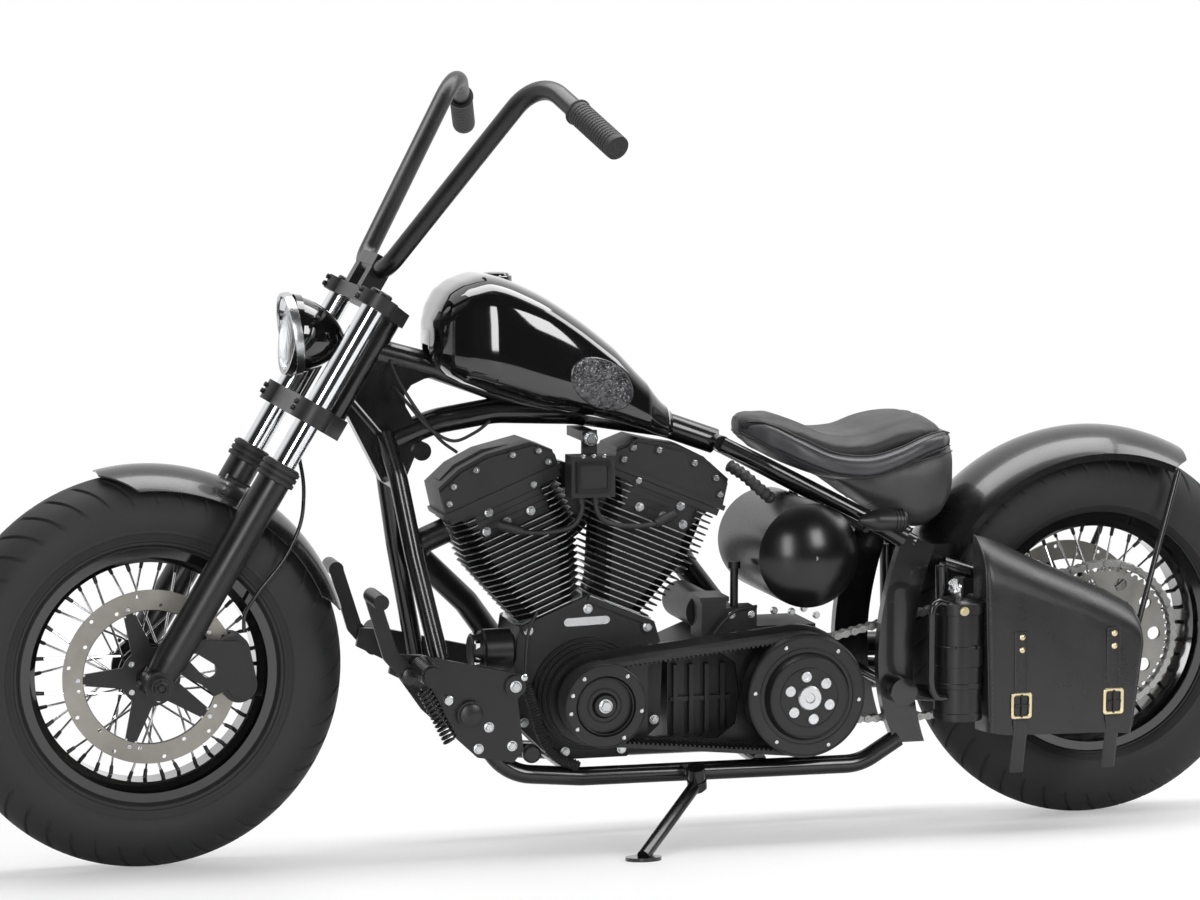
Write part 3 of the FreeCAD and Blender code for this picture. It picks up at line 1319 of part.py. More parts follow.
clutch = lathe("clutch_turned", [
    (PLATE_FACE, 0), (PLATE_FACE, 34), (dim.belt_y - 2, 34), (dim.belt_y - 2, dim.clutch_radius),
    (BELT_FACE + 1, dim.clutch_radius), (BELT_FACE + 1, dim.clutch_cover_radius),
    (BELT_FACE + 9, dim.clutch_cover_radius - 3), (BELT_FACE + 9, dim.clutch_hub_radius + 6),
    (BELT_FACE + 22, dim.clutch_hub_radius), (BELT_FACE + 22, 0)])
place(clutch, (dim.clutch_x, 0, dim.clutch_z))
subpart("clutch", BIKE, clutch)

# Chain: one link after another round the two sprockets, wide and narrow by turns.
AXLE = (AXLE_X, AXLE_Z)
FRONT_PITCH_RADIUS = sprocket_pitch_radius(dim.front_sprocket_teeth)
REAR_PITCH_RADIUS = sprocket_pitch_radius(dim.sprocket_teeth)


def drive_chain():
    """The chain's links, laid along its pitch line."""
    path = loop(CLUTCH, FRONT_PITCH_RADIUS, AXLE, REAR_PITCH_RADIUS)
    count = 2 * round(path.Length / dim.chain_pitch / 2)
    pins = path.discretize(Number=count + 1)
    links = []
    for index in range(count):
        start, end = pins[index], pins[index + 1]
        run = end - start
        width = dim.chain_width if index % 2 else dim.chain_width - 6
        link = Part.makeBox(run.Length - 0.7, width, dim.chain_height)
        link.translate(Vector(0.35, -width / 2, -dim.chain_height / 2))
        link.Placement = Placement(start + Y * dim.chain_y, Rotation(X, run)) * link.Placement
        links.append(link)
    return Part.makeCompound(links)


subpart("drive_chain", BIKE, shaped("chain_links", drive_chain()))


# ---------------------------------------------------------------- tanks, seat, luggage, fittings

dome_curve = (dim.oil_tank_radius * dim.oil_tank_radius / dim.oil_tank_dome + dim.oil_tank_dome) / 2
oil_tank = lathe("oil_tank_shell", [
    (-dim.oil_tank_right, 0, -dome_curve), (dim.oil_tank_dome - dim.oil_tank_right, dim.oil_tank_radius),
    (dim.oil_tank_left - dim.oil_tank_dome, dim.oil_tank_radius, -dome_curve), (dim.oil_tank_left, 0)])
place(oil_tank, (dim.oil_tank_x, 0, dim.oil_tank_z))
LUG_UP = Vector(-0.468, 0, 0.884)
lug_foot = Vector(dim.oil_tank_x, 0, dim.oil_tank_z) + LUG_UP * 72.5
tank_lugs = [shaped("oil_tank_lug", Part.makeCylinder(9, 20, lug_foot + Y * side * 88, LUG_UP))
             for side in (1, -1)]
subpart("oil_tank", BIKE, fuse("oil_tank_whole", oil_tank, *tank_lugs))

TANK_SECTIONS = [
    (364, 66, 842, 918, 34), (346, 98, 822, 950, 42), (314, 122, 806, 976, 48), (262, 138, 788, 990, 52),
    (190, 140, 766, 968, 50), (120, 134, 750, 932, 46), (50, 116, 735, 872, 40),
    (-10, 90, 718, 806, 30), (-62, 56, 700, 742, 16)]


def fuel_tank():
    """A teardrop shell lofted along the machine, with a tunnel for the frame's top tubes."""
    wires = [rounded_rectangle(*section) for section in TANK_SECTIONS]
    shell = Part.makeLoft(wires, True, False)
    profile = [(440, 600), (440, 880), (350, 868), (130, 790), (-120, 752), (-120, 600)]
    ring = [Vector(x, -TUNNEL_HALF, z) for x, z in profile]
    tunnel = Part.Face(Part.makePolygon(ring + ring[:1])).extrude(Y * 2 * TUNNEL_HALF)
    filler = Part.makeCylinder(30, 44, Vector(226, -52, 950), Z)
    return shell.cut(tunnel).fuse(filler)


subpart("fuel_tank", BIKE, shaped("fuel_tank_shell", fuel_tank()))

SEAT_SECTIONS = [
    (-190, 38, 702, 733, 12), (-222, 76, 682, 741, 18), (-275, 116, 655, 722, 24),
    (-350, 140, 634, 702, 26), (-430, 148, 624, 716, 30), (-500, 142, 628, 724, 34),
    (-556, 108, 636, 690, 22)]
seat = Part.makeLoft([rounded_rectangle(*section) for section in SEAT_SECTIONS], True, False)
subpart("seat", BIKE, shaped("seat_pad", seat))
SKIRT_SECTIONS = [(-400, 112, 588, 650, 20), (-455, 124, 552, 655, 30), (-510, 122, 540, 655, 34),
                  (-556, 100, 560, 655, 36)]
skirt = Part.makeLoft([rounded_rectangle(*section) for section in SKIRT_SECTIONS], True, False)
low_seat = seat.translated(-Z * dim.fit * 2)
for blocker in [seat, low_seat] + both_sides(rear_side):
    skirt = skirt.cut(blocker)
subpart("seat_skirt", BIKE, shaped("skirt_shell", skirt))

BAG_INNER = dim.swingarm_half_spacing + dim.swingarm_radius + dim.fit
bag = plate("saddlebag_box", [(-572, 528), (-862, 366), (-852, 182), (-584, 192)],
            BAG_INNER, BAG_INNER + dim.bag_depth)
doc.recompute()
bag_pad = bag.Tip
bag_round = bag.newObject("PartDesign::Fillet", "saddlebag_rounding")
bag_round.Base = (bag_pad, ["Edge%d" % number for number in range(1, len(bag_pad.Shape.Edges) + 1)])
bind(bag_round, Radius=dim.bag_round)
subpart("saddlebag", BIKE, bag)
canister_y = BAG_INNER + dim.canister_radius
canister = cylinder("canister_body", dim.canister_radius, dim.canister_high - dim.canister_low,
                    (dim.canister_x, canister_y, dim.canister_low))
neck = cylinder("canister_neck", 11, 42, (dim.canister_x, canister_y, dim.canister_high))
subpart("canister", BIKE, fuse("canister_whole", canister, neck))


def exhaust():
    """Two pipes down the right side, from the heads' ports to open ends."""
    y = float(dim.exhaust_y)
    lean = float(dim.cylinder_angle)
    reach = dim.fin_high_half + dim.fit
    port = ENGINE + along_cylinder(reach, PORT_LEVEL, lean) - Y * 36
    elbow = ENGINE + along_cylinder(reach + 70, PORT_LEVEL, lean) - Y * 36
    side_port = ENGINE + along_cylinder(60, PORT_LEVEL, -lean) - Y * (dim.fin_half_depth + dim.fit)
    bore = dim.exhaust_radius - dim.exhaust_wall
    front = tube([port, elbow, (268, -104, 410), (196, -160, 318), (60, y, 258), (-80, y, 238),
                  (-640, y, 225)], dim.exhaust_radius, 60, bore)
    rear = tube([side_port, side_port - Y * 62, (-150, y + 8, 450), (-236, y, 340), (-350, y, 290),
                 (-640, y, 285)], dim.exhaust_radius, 60, bore)
    return [front, rear]


subpart("exhaust_pipes", BIKE, *[shaped("exhaust_pipe", pipe) for pipe in exhaust()])
air_cleaner = lathe("air_cleaner_cover", [
    (-196, 0), (-196, 66), (-190, 74), (-150, 74), (-150, 30), (-76, 30), (-76, 0)])
place(air_cleaner, (dim.engine_x + 4, 0, 572))
manifold = crosswise("manifold", 20, -90, -20, dim.engine_x, 586)
subpart("air_cleaner", BIKE, fuse("air_cleaner_whole", air_cleaner, manifold))
oil_filter = lathe("oil_filter_can", [
    (0, 0), (0, 26), (4, 30), (7, 36), (52, 36), (56, 33), (58, 33), (58, 31), (74, 29), (76, 25),
    (76, 0)])
place(oil_filter, (dim.engine_x + 128.3, 62, 352), Rotation(Z, -90))
subpart("oil_filter", BIKE, oil_filter)
COIL_INNER = 92
coil = box("coil_body", (76, 44, 70), (dim.engine_x - 32, COIL_INNER, 616))
coil_frame = box("coil_cover", (60, 5, 54), (dim.engine_x - 24, COIL_INNER + 43, 624))
coil_bolt = crosswise("coil_bolt", 13, COIL_INNER - 6, COIL_INNER + 10, dim.engine_x + 2, 712)
hanger_top = box("coil_hanger_top", (26, COIL_INNER + 12, 16), (dim.engine_x - 12, -12, 707))
hanger_leg = box("coil_hanger_leg", (26, 8, 60), (dim.engine_x - 12, COIL_INNER - 8, 665))
subpart("coil_box", BIKE, fuse("coil_box_whole", coil, coil_frame, coil_bolt, hanger_top, hanger_leg))

CONTROL_INNER = dim.rail_half_spacing + dim.rail_radius + dim.fit
CONTROL_OUTER = CONTROL_INNER + 10
DRUM_X, DRUM_Z = 318, 258
PEG_X, PEG_Z = 404, 344
LEVER_PIVOT, LEVER_ELBOW, LEVER_TOE = (424, 330), (456, 366), (487, 468)
CONTROL_OUTLINE = [(450, 366), (456, 334), (402, 306), (372, 262), (340, 216), (306, 184), (244, 172),
                   (226, 192), (236, 280), (222, 298), (226, 320), (248, 326), (300, 338), (400, 362)]


def foot_lever(toe_from, toe_to):
    """A foot lever that pivots at the front of the control plate, with a peg for the toe."""
    standoff, thickness = 5, 9
    y = float(CONTROL_OUTER) + standoff
    upper = Part.Face(loop(LEVER_TOE, 12, LEVER_ELBOW, 13)).extrude(Y * thickness)
    lower = Part.Face(loop(LEVER_ELBOW, 13, LEVER_PIVOT, 14)).extrude(Y * thickness)
    pivot = Part.makeCylinder(14, thickness + standoff - dim.fit,
                              Vector(LEVER_PIVOT[0], y - standoff + dim.fit, LEVER_PIVOT[1]), Y)
    toe = Part.makeCylinder(13, toe_to - toe_from, Vector(LEVER_TOE[0], toe_from, LEVER_TOE[1]), Y)
    for piece in (upper, lower):
        piece.translate(Y * y)
    return upper.fuse([lower, pivot, toe])


def peg(name, side, low, high):
    """A foot peg: a rubber sleeve with rings, between two collars, on a steel pin."""
    ends = sorted((side * low, side * high))
    core = crosswise(name + "_core", 15, ends[0], ends[1], PEG_X, PEG_Z)
    rings = []
    for index in range(9):
        start = low + 14 + index * 10
        ends = sorted((side * start, side * (start + 6)))
        rings.append(crosswise(name + "_ring", 19, ends[0], ends[1], PEG_X, PEG_Z))
    return [core] + rings


left_plate = plate("left_control_plate", CONTROL_OUTLINE, CONTROL_INNER, CONTROL_OUTER)
left_boss = crosswise("left_control_boss", 18, CONTROL_OUTER - 1, CONTROL_OUTER + 7, 241, 303)
left_drum = crosswise("left_control_drum", 24, CONTROL_OUTER - 1, CONTROL_OUTER + 9, DRUM_X, DRUM_Z)
left_peg = peg("left_peg", 1, CONTROL_OUTER - 1, CONTROL_OUTER + 105)
lever = foot_lever(150, 236)
subpart("left_controls", BIKE, fuse("left_control_whole", left_plate, left_boss, left_drum, *left_peg),
        shaped("shift_lever", lever))
right_plate = plate("right_control_plate", CONTROL_OUTLINE, -CONTROL_OUTER, -CONTROL_INNER)
right_cylinder = crosswise("right_control_cylinder", 24, -(CONTROL_OUTER + 30), -(CONTROL_OUTER - 1),
                           DRUM_X, DRUM_Z)
right_peg = peg("right_peg", -1, CONTROL_OUTER - 1, CONTROL_OUTER + 105)
subpart("right_controls", BIKE, fuse("right_control_whole", right_plate, right_cylinder, *right_peg),
        shaped("brake_pedal", foot_lever(150, 216).mirror(HERE, Y)))


# ---------------------------------------------------------------- side stand

def side_stand():
    """The stand: an eye round its pin, a leg and a flat foot."""
    half = dim.stand_eye_height / 2
    eye = Part.makeCylinder(dim.stand_eye_radius, dim.stand_eye_height,
                            STAND_PIVOT - STAND_AXIS * half, STAND_AXIS)
    run = (STAND_FOOT - STAND_PIVOT).normalize()
    start = STAND_PIVOT + run * (dim.stand_eye_radius - 2)
    leg = tube([start, STAND_FOOT], dim.stand_leg_radius)
    footprint = BIKE.multVec(STAND_FOOT)
    foot = Part.makeCylinder(30, dim.stand_foot_thickness, Vector(footprint.x, footprint.y, 0), Z)
    below = Part.makeBox(200, 200, 60, Vector(footprint.x - 100, footprint.y - 100, -60))
    for piece in (foot, below):
        piece.Placement = BIKE.inverse() * piece.Placement
    hole = Part.makeCylinder(dim.stand_pin_radius + dim.running, 60,
                             STAND_PIVOT - STAND_AXIS * 30, STAND_AXIS)
    return eye.fuse([leg, foot]).cut(hole).cut(below)


subpart("side_stand", BIKE, shaped("stand_whole", side_stand()))

# ---------------------------------------------------------------- write

doc.recompute()
for thing in doc.Objects:
    if "Invalid" in thing.State or "Error" in thing.State:
        raise RuntimeError("%s did not build" % thing.Label)
for node, thing in nodes.items():
    if thing.Shape.isNull() or not thing.Shape.isValid():
        raise RuntimeError("%s has no valid shape" % node)
os.makedirs("parts", exist_ok=True)
for node, thing in nodes.items():
    thing.Shape.exportStep("parts/%s.step" % node)
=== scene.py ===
import json
from math import asin, atan2, copysign, cos, pi, radians, sin, sqrt, tau

import bmesh
import bpy
from mathutils import Matrix, Vector, noise
from mathutils.bvhtree import BVHTree


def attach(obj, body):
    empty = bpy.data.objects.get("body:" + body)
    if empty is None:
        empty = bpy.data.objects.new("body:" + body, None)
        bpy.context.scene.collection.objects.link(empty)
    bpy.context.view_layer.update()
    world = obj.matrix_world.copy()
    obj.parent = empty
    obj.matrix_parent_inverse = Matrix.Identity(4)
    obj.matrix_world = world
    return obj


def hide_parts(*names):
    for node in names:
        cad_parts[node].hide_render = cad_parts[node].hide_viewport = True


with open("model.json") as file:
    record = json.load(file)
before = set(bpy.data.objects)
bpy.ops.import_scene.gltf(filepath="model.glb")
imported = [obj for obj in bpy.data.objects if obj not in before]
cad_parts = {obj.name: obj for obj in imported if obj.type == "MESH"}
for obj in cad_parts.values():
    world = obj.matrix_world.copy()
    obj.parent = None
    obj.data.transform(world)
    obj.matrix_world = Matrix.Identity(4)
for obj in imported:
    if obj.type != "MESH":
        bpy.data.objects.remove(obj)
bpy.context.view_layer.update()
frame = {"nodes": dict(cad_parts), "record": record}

# Looks for a V-twin chopper. Sizes are in millimetres in the machine's own frames, which come
# from the record's joints; every mesh is then written in metres where the machine stands.

NODES = frame["nodes"]
JOINTS = {joint["name"]: joint for joint in frame["record"]["behaviour"]["joints"]}
WHEELBASE = 1688
TYRE_RADIUS = 334
RAKE = radians(31)


# ---------------------------------------------------------------- frames

def with_columns(*axes):
    """A turn that takes X, Y and Z to these directions."""
    return Matrix([[axis[row] for axis in axes] for row in range(3)]).to_4x4()


def frame_matrix(origin, ahead, across, up):
    """Millimetres in one of the machine's frames, to metres in the scene."""
    return Matrix.Translation(origin) @ with_columns(ahead * 0.001, across * 0.001, up * 0.001)


def joint_place(name):
    return Vector(JOINTS[name]["pos_m"]), Vector(JOINTS[name]["axis"]).normalized()


rear_place, rear_across = joint_place("rear_wheel_spin")
front_place, front_across = joint_place("front_wheel_spin")
_, steering_up = joint_place("steering")
AHEAD = Vector((1, 0, 0))
BIKE_UP = AHEAD.cross(rear_across)
BIKE = frame_matrix(rear_place + AHEAD * (WHEELBASE / 2000) - BIKE_UP * (TYRE_RADIUS / 1000),
                    AHEAD, rear_across, BIKE_UP)
fork_ahead = front_across.cross(steering_up)
FORK = frame_matrix(front_place, fork_ahead, front_across, steering_up)
steered_ahead = fork_ahead * cos(RAKE) - steering_up * sin(RAKE)
steered_up = fork_ahead * sin(RAKE) + steering_up * cos(RAKE)
STEERED = frame_matrix(front_place - steered_ahead * (WHEELBASE / 2000) - steered_up * (TYRE_RADIUS / 1000),
                       steered_ahead, front_across, steered_up)
FRONT_WHEEL = frame_matrix(front_place, steered_ahead, front_across, steered_up)
REAR_WHEEL = frame_matrix(rear_place, AHEAD, rear_across, BIKE_UP)


def towards(centre, normal):
    """A matrix that takes +Z to a direction, at a place."""
    turn = Vector(normal).normalized().to_track_quat("Z", "Y").to_matrix().to_4x4()
    return Matrix.Translation(Vector(centre)) @ turn


LEFT = Matrix.Rotation(-pi / 2, 4, "X")


def facing(x, y, z):
    """A place on the left side, where a shape's +Z points out to the left."""
    return Matrix.Translation((x, y, z)) @ LEFT


def beside(centre, radius, angle, y):
    """A place on the left side, out from an (x, z) centre at an angle."""
    return facing(centre[0] + radius * cos(angle), y, centre[1] + radius * sin(angle))


# ---------------------------------------------------------------- mesh building

class Kit:
    """Collects faces, then makes one piece of them."""

    def __init__(self, matrix):
        self.matrix = matrix
        self.points = []
        self.faces = []

    def add(self, shape, at=None):
        points, faces = shape
        first = len(self.points)
        matrix = self.matrix if at is None else self.matrix @ at
        self.points += [matrix @ Vector(point) for point in points]
        self.faces += [[index + first for index in face] for face in faces]
        return self

    def many(self, shape, places):
        """The same shape at several places."""
        for place in places:
            self.add(shape, place)
        return self

    def make(self, name, body, slot, finish, smooth, replaces=()):
        mesh = bpy.data.meshes.new(name)
        mesh.from_pydata(self.points, [], self.faces)
        mesh.materials.append(finish)
        piece = bpy.data.objects.new(name, mesh)
        bpy.context.collection.objects.link(piece)
        tidy(mesh, smooth)
        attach(piece, body)
        if replaces:
            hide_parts(*replaces)
        return piece


def tidy(mesh, smooth):
    """Outward normals, and smooth shading up to an angle."""
    work = bmesh.new()
    work.from_mesh(mesh)
    bmesh.ops.remove_doubles(work, verts=work.verts, dist=1e-6)
    bmesh.ops.recalc_face_normals(work, faces=work.faces)
    for face in work.faces:
        face.smooth = True
    for edge in work.edges:
        edge.smooth = len(edge.link_faces) == 2 and edge.calc_face_angle(0) < radians(smooth)
    work.to_mesh(mesh)
    work.free()


def wrapped(items):
    """Each item with the next, and the last with the first."""
    return zip(items, items[1:] + items[:1])


def rings(loops, closed=False, caps=True, wrap=True):
    """Skin a row of loops that have the same number of points; unwrapped, they are open lines."""
    count = len(loops[0])
    points = [point for loop in loops for point in loop]
    faces = []
    rows = len(loops) if closed else len(loops) - 1
    for row in range(rows):
        low, high = row * count, (row + 1) % len(loops) * count
        for step in range(count if wrap else count - 1):
            after = (step + 1) % count
            faces.append([low + step, low + after, high + after, high + step])
    if caps and not closed:
        faces.append(list(range(count))[::-1])
        faces.append([(len(loops) - 1) * count + step for step in range(count)])
    return points, faces


def turned(profile, steps=48, closed=False):
    """Turn (height, radius) pairs about Z. A radius of nought closes the end."""
    points, faces, rows = [], [], []
    for height, radius in profile:
        if radius < 1e-6:
            rows.append([len(points)] * steps)
            points.append((0, 0, height))
            continue
        rows.append(list(range(len(points), len(points) + steps)))
        points += [(x, y, height) for x, y in circle(radius, steps)]
    pairs = list(zip(rows, rows[1:])) + ([(rows[-1], rows[0])] if closed else [])
    for low, high in pairs:
        for step in range(steps):
            after = (step + 1) % steps
            face = [low[step], low[after], high[after], high[step]]
            face = [index for place, index in enumerate(face) if index not in face[:place]]
            if len(face) > 2:
                faces.append(face)
    return points, faces


def inset(outline, depth):
    """A closed outline moved inwards."""
    area = sum(a[0] * b[1] - b[0] * a[1] for a, b in wrapped(outline))
    sign = 1 if area > 0 else -1
    moved = []
    for before, here, after in zip(outline[-1:] + outline, outline, outline[1:] + outline[:1]):
        first = (Vector(here) - Vector(before)).normalized()
        second = (Vector(after) - Vector(here)).normalized()
        inward = Vector((-first.y - second.y, first.x + second.x)) * sign
        scale = depth / max(0.35, inward.length_squared / 2)
        moved.append((here[0] + inward.x * scale, here[1] + inward.y * scale))
    return moved


def slab(outline, low, high, edge=1.0):
    """A plate of an outline in XY, with its edges broken."""
    small = inset(outline, edge)
    loops = [[(x, y, level) for x, y in line] for line, level in (
        (small, low), (outline, low + edge), (outline, high - edge), (small, high))]
    return rings(loops)


def all_round(steps):
    return [tau * step / steps for step in range(steps)]


def circle(radius, steps):
    return [(radius * cos(angle), radius * sin(angle)) for angle in all_round(steps)]


def pill(half_length, radius, steps=12):
    outline = []
    for step in range(steps + 1):
        angle = -pi / 2 + pi * step / steps
        outline.append((half_length - radius + radius * cos(angle), radius * sin(angle)))
    return outline + [(-x, -y) for x, y in outline]


def rounded_box(half_x, half_y, radius, steps=5):
    outline = []
    for quarter, (sx, sy) in enumerate(((1, 1), (-1, 1), (-1, -1), (1, -1))):
        for step in range(steps + 1):
            angle = pi / 2 * (quarter + step / steps)
            outline.append((sx * (half_x - radius) + radius * cos(angle),
                            sy * (half_y - radius) + radius * sin(angle)))
    return outline


def oval(width, low, high, power, angles):
    """Places round a squared oval of a half width, between two heights."""
    middle, half = (low + high) / 2, (high - low) / 2
    places = []
    for angle in angles:
        c, s = cos(angle), sin(angle)
        places.append((width * copysign(abs(c) ** (2 / power), c),
                       middle + half * copysign(abs(s) ** (2 / power), s)))
    return places


def hex_bolt(radius, height):
    """A hexagon head on a washer, standing on Z = 0."""
    washer = turned([(0, 0), (0, radius * 1.25), (1.2, radius * 1.25), (1.2, 0)], 20)
    return join(slab(circle(radius, 6), 0.8, height, radius * 0.12), washer)


def cap_bolt(radius, height):
    """A socket head: a drum with a six-sided recess."""
    steps = 18
    loops = [[(x, y, level) for x, y in circle(size, steps)]
             for level, size in ((0, radius), (height - 0.6, radius), (height, radius - 0.6))]
    socket = circle(radius * 0.52, 6)
    ring = []
    for step in range(steps):
        share = step / steps * 6
        index = int(share)
        ring.append(Vector(socket[index]).lerp(Vector(socket[(index + 1) % 6]), share - index))
    loops += [[(p.x, p.y, level) for p in ring] for level in (height, height * 0.45)]
    return rings(loops)


def join(*shapes):
    points, faces = [], []
    for more_points, more_faces in shapes:
        first = len(points)
        points += more_points
        faces += [[index + first for index in face] for face in more_faces]
    return points, faces


def blend(a, b, c, d, t):
    """A Catmull-Rom value a share t of the way from b to c."""
    return 0.5 * (b * 2 + (c - a) * t + (a * 2 - b * 5 + c * 4 - d) * t * t
                  + (b * 3 - a - c * 3 + d) * t ** 3)


def smooth_path(points, steps=8):
    """A smooth line through the points."""
    points = [Vector(point) for point in points]
    ends = [points[0] * 2 - points[1]] + points + [points[-1] * 2 - points[-2]]
    path = []
    for a, b, c, d in zip(ends, ends[1:], ends[2:], ends[3:]):
        path += [blend(a, b, c, d, step / steps) for step in range(steps)]
    return path + [points[-1]]


def swept(path, radius, steps=12, flat=1.0, side=None):
    """A tube along a path; radius may be a function of the share of the way along."""
    path = [Vector(point) for point in path]
    tangents = [(path[min(i + 1, len(path) - 1)] - path[max(i - 1, 0)]).normalized()
                for i in range(len(path))]
    normal = Vector(side) if side else tangents[0].orthogonal()
    loops = []
    for index, (point, tangent) in enumerate(zip(path, tangents)):
        normal = (normal - tangent * normal.dot(tangent)).normalized()
        other = tangent.cross(normal)
        size = radius(index / (len(path) - 1)) if callable(radius) else radius
        loops.append([point + normal * size * cos(angle) + other * size * flat * sin(angle)
                      for angle in all_round(steps)])
    return rings(loops)


# ---------------------------------------------------------------- materials

def feed(socket, value):
    """Set a socket to a value, or link it to a node's first output or to a given output."""
    if isinstance(value, bpy.types.Node):
        value = value.outputs[0]
    if isinstance(value, bpy.types.NodeSocket):
        socket.id_data.links.new(value, socket)
    else:
        socket.default_value = value


def add_node(tree, kind, inputs=None, **settings):
    """A shader node with its settings made and its sockets fed."""
    made = tree.nodes.new("ShaderNode" + kind)
    for name, value in settings.items():
        setattr(made, name, value)
    for name, value in (inputs or {}).items():
        feed(made.inputs[name], value)
    return made


def plain_material(name, inputs):
    """A material with values set on its shader's own sockets."""
    made = bpy.data.materials.new(name)
    made.use_nodes = True
    shader = made.node_tree.nodes["Principled BSDF"]
    for socket, value in inputs.items():
        feed(shader.inputs[socket], value)
    return made, made.node_tree, shader.inputs


def material(name, colour, rough, metal=0.0, coat=0.0, vary=0.25, vary_scale=6.0, grain=0.2,
             grain_scale=400.0, rough_vary=0.08, sheen=0.0, cells=False, zone=None):
    """A finish whose colour, gloss and surface all vary at their own scales.

    A zone is (matrix, radius in mm, colour, roughness): what lies nearer to that frame's Y axis is
    painted so.
    """
    made, tree, sockets = plain_material(name, {
        "Metallic": metal, "Coat Weight": coat, "Coat Roughness": 0.05, "Sheen Weight": sheen})
    where = add_node(tree, "TexCoord").outputs["Object"]
    cloud = add_node(tree, "TexNoise", {"Vector": where, "Scale": vary_scale, "Detail": 8, "Roughness": 0.65})
    tones = add_node(tree, "ValToRGB", {"Fac": cloud})
    for element, place, share in zip(tones.color_ramp.elements, (0.3, 0.72), (1 - vary, 1 + vary)):
        element.position = place
        element.color = (*[min(1, c * share) for c in colour], 1)
    gloss = add_node(tree, "MapRange", {
        "Value": cloud, "From Min": 0.3, "From Max": 0.7,
        "To Min": max(0.03, rough - rough_vary), "To Max": min(1, rough + rough_vary)})
    if zone:
        paint_zone(tree, sockets, zone, where, tones, gloss, metal)
    else:
        feed(sockets["Base Color"], tones)
        feed(sockets["Roughness"], gloss)
    if cells:
        fine = add_node(tree, "TexVoronoi", {"Vector": where, "Scale": grain_scale}, feature="SMOOTH_F1")
    else:
        fine = add_node(tree, "TexNoise", {"Vector": where, "Scale": grain_scale, "Detail": 4})
    feed(sockets["Normal"], add_node(tree, "Bump", {"Height": fine, "Strength": grain, "Distance": 0.0006}))
    return made


def paint_zone(tree, sockets, zone, where, tones, gloss, metal):
    """Paint what lies near a wheel's axle line."""
    matrix, radius, colour, rough = zone
    axis = (matrix.to_3x3() @ Vector((0, 1, 0))).normalized()
    offset = add_node(tree, "VectorMath", {0: where, 1: matrix.translation}, operation="SUBTRACT")
    flat = add_node(tree, "VectorMath", {0: offset, 1: axis}, operation="CROSS_PRODUCT")
    length = add_node(tree, "VectorMath", {0: flat}, operation="LENGTH").outputs["Value"]
    inside = add_node(tree, "Math", {0: length, 1: radius / 1000}, operation="LESS_THAN")
    paint = add_node(tree, "Mix", {"Factor": inside, "A": tones, "B": (*colour, 1)}, data_type="RGBA")
    feed(sockets["Base Color"], paint.outputs["Result"])
    for socket, outer, inner in (("Roughness", gloss, rough), ("Metallic", metal, 0)):
        mixed = add_node(tree, "Mix", {"Factor": inside, "A": outer, "B": inner})
        feed(sockets[socket], mixed.outputs["Result"])


BLACK = (0.0045, 0.0045, 0.0050)
DISC_STEEL, SPOKE_STEEL = (0.30, 0.285, 0.26), (0.66, 0.66, 0.67)
GLOSS = material("gloss_black", BLACK, 0.09, coat=1.0, grain=0.03, grain_scale=60, rough_vary=0.03)
FENDER = material("fender_black", BLACK, 0.26, coat=0.35, grain=0.04, grain_scale=120, rough_vary=0.05)
FRAME = material("frame_black", BLACK, 0.25, coat=0.4, grain=0.05, grain_scale=250)
CAST = material("cast_black", (0.0058, 0.0058, 0.0064), 0.46, grain=0.35, grain_scale=900, vary=0.35)
SATIN = material("satin_black", (0.006, 0.006, 0.0065), 0.34, grain=0.08, grain_scale=700)
TANK_BLACK = material("oil_tank_black", BLACK, 0.26, grain=0.04, grain_scale=500, rough_vary=0.03)
BRIGHT = material("bright_edge", (0.62, 0.63, 0.64), 0.28, metal=1, grain=0.15, grain_scale=600, vary=0.2)
CHROME = material("chrome", (0.74, 0.75, 0.77), 0.10, metal=1, vary=0.08, rough_vary=0.04, grain=0.02)
CLAMP = material("clamp_grey", (0.020, 0.020, 0.021), 0.40, metal=0.2, grain_scale=700)
DISC, REAR_DISC = (
    material(name, DISC_STEEL, 0.40, metal=1, grain_scale=350, vary=0.18, zone=(wheel, 113, BLACK, 0.4))
    for name, wheel in (("disc_steel", FRONT_WHEEL), ("rear_disc_steel", REAR_WHEEL)))
SPROCKET = material("sprocket_steel", (0.26, 0.255, 0.24), 0.38, metal=1, grain=0.25, grain_scale=300,
                    vary=0.3)
FRONT_SPOKES, REAR_SPOKES = (
    material(name, SPOKE_STEEL, 0.2, metal=1, vary=0.12, grain=0.03, zone=(wheel, 53, BLACK, 0.3))
    for name, wheel in (("front_spoke_steel", FRONT_WHEEL), ("rear_spoke_steel", REAR_WHEEL)))
RUBBER = material("tyre_rubber", (0.013, 0.0132, 0.0142), 0.66, grain=0.3, grain_scale=600, vary=0.3,
                  vary_scale=9)
GRIP = material("grip_rubber", (0.012, 0.012, 0.0125), 0.58, grain=0.4, grain_scale=500)
BELT = material("belt_rubber", (0.010, 0.010, 0.0105), 0.6, grain=0.35, grain_scale=900, vary=0.3)
LEATHER = material("leather", (0.014, 0.014, 0.0145), 0.31, grain=0.35, grain_scale=900, cells=True,
                   vary=0.3, vary_scale=14, sheen=0.04)
# The pad's leather is darkened past its own tone as painted shade along its near edge. The band's leather is
# lightened as painted sheen in place of its soft highlights.
PAD_LEATHER_AND_SHADE = material("pad_leather_and_painted_shade", (0.0065, 0.0065, 0.0070), 0.50, grain=0.45, grain_scale=1100, cells=True,
                    vary=0.3, vary_scale=14, sheen=0.05)
BAND_LEATHER_AND_SHEEN = material("band_leather_and_painted_sheen", (0.046, 0.0455, 0.050), 0.36, grain=0.3, grain_scale=1000, cells=True,
                     vary=0.25, vary_scale=12, rough_vary=0.06)
SKIRT_HIDE = material("skirt_leather", (0.042, 0.042, 0.044), 0.42, grain=0.35, grain_scale=900, cells=True,
                      vary=0.25, vary_scale=11)
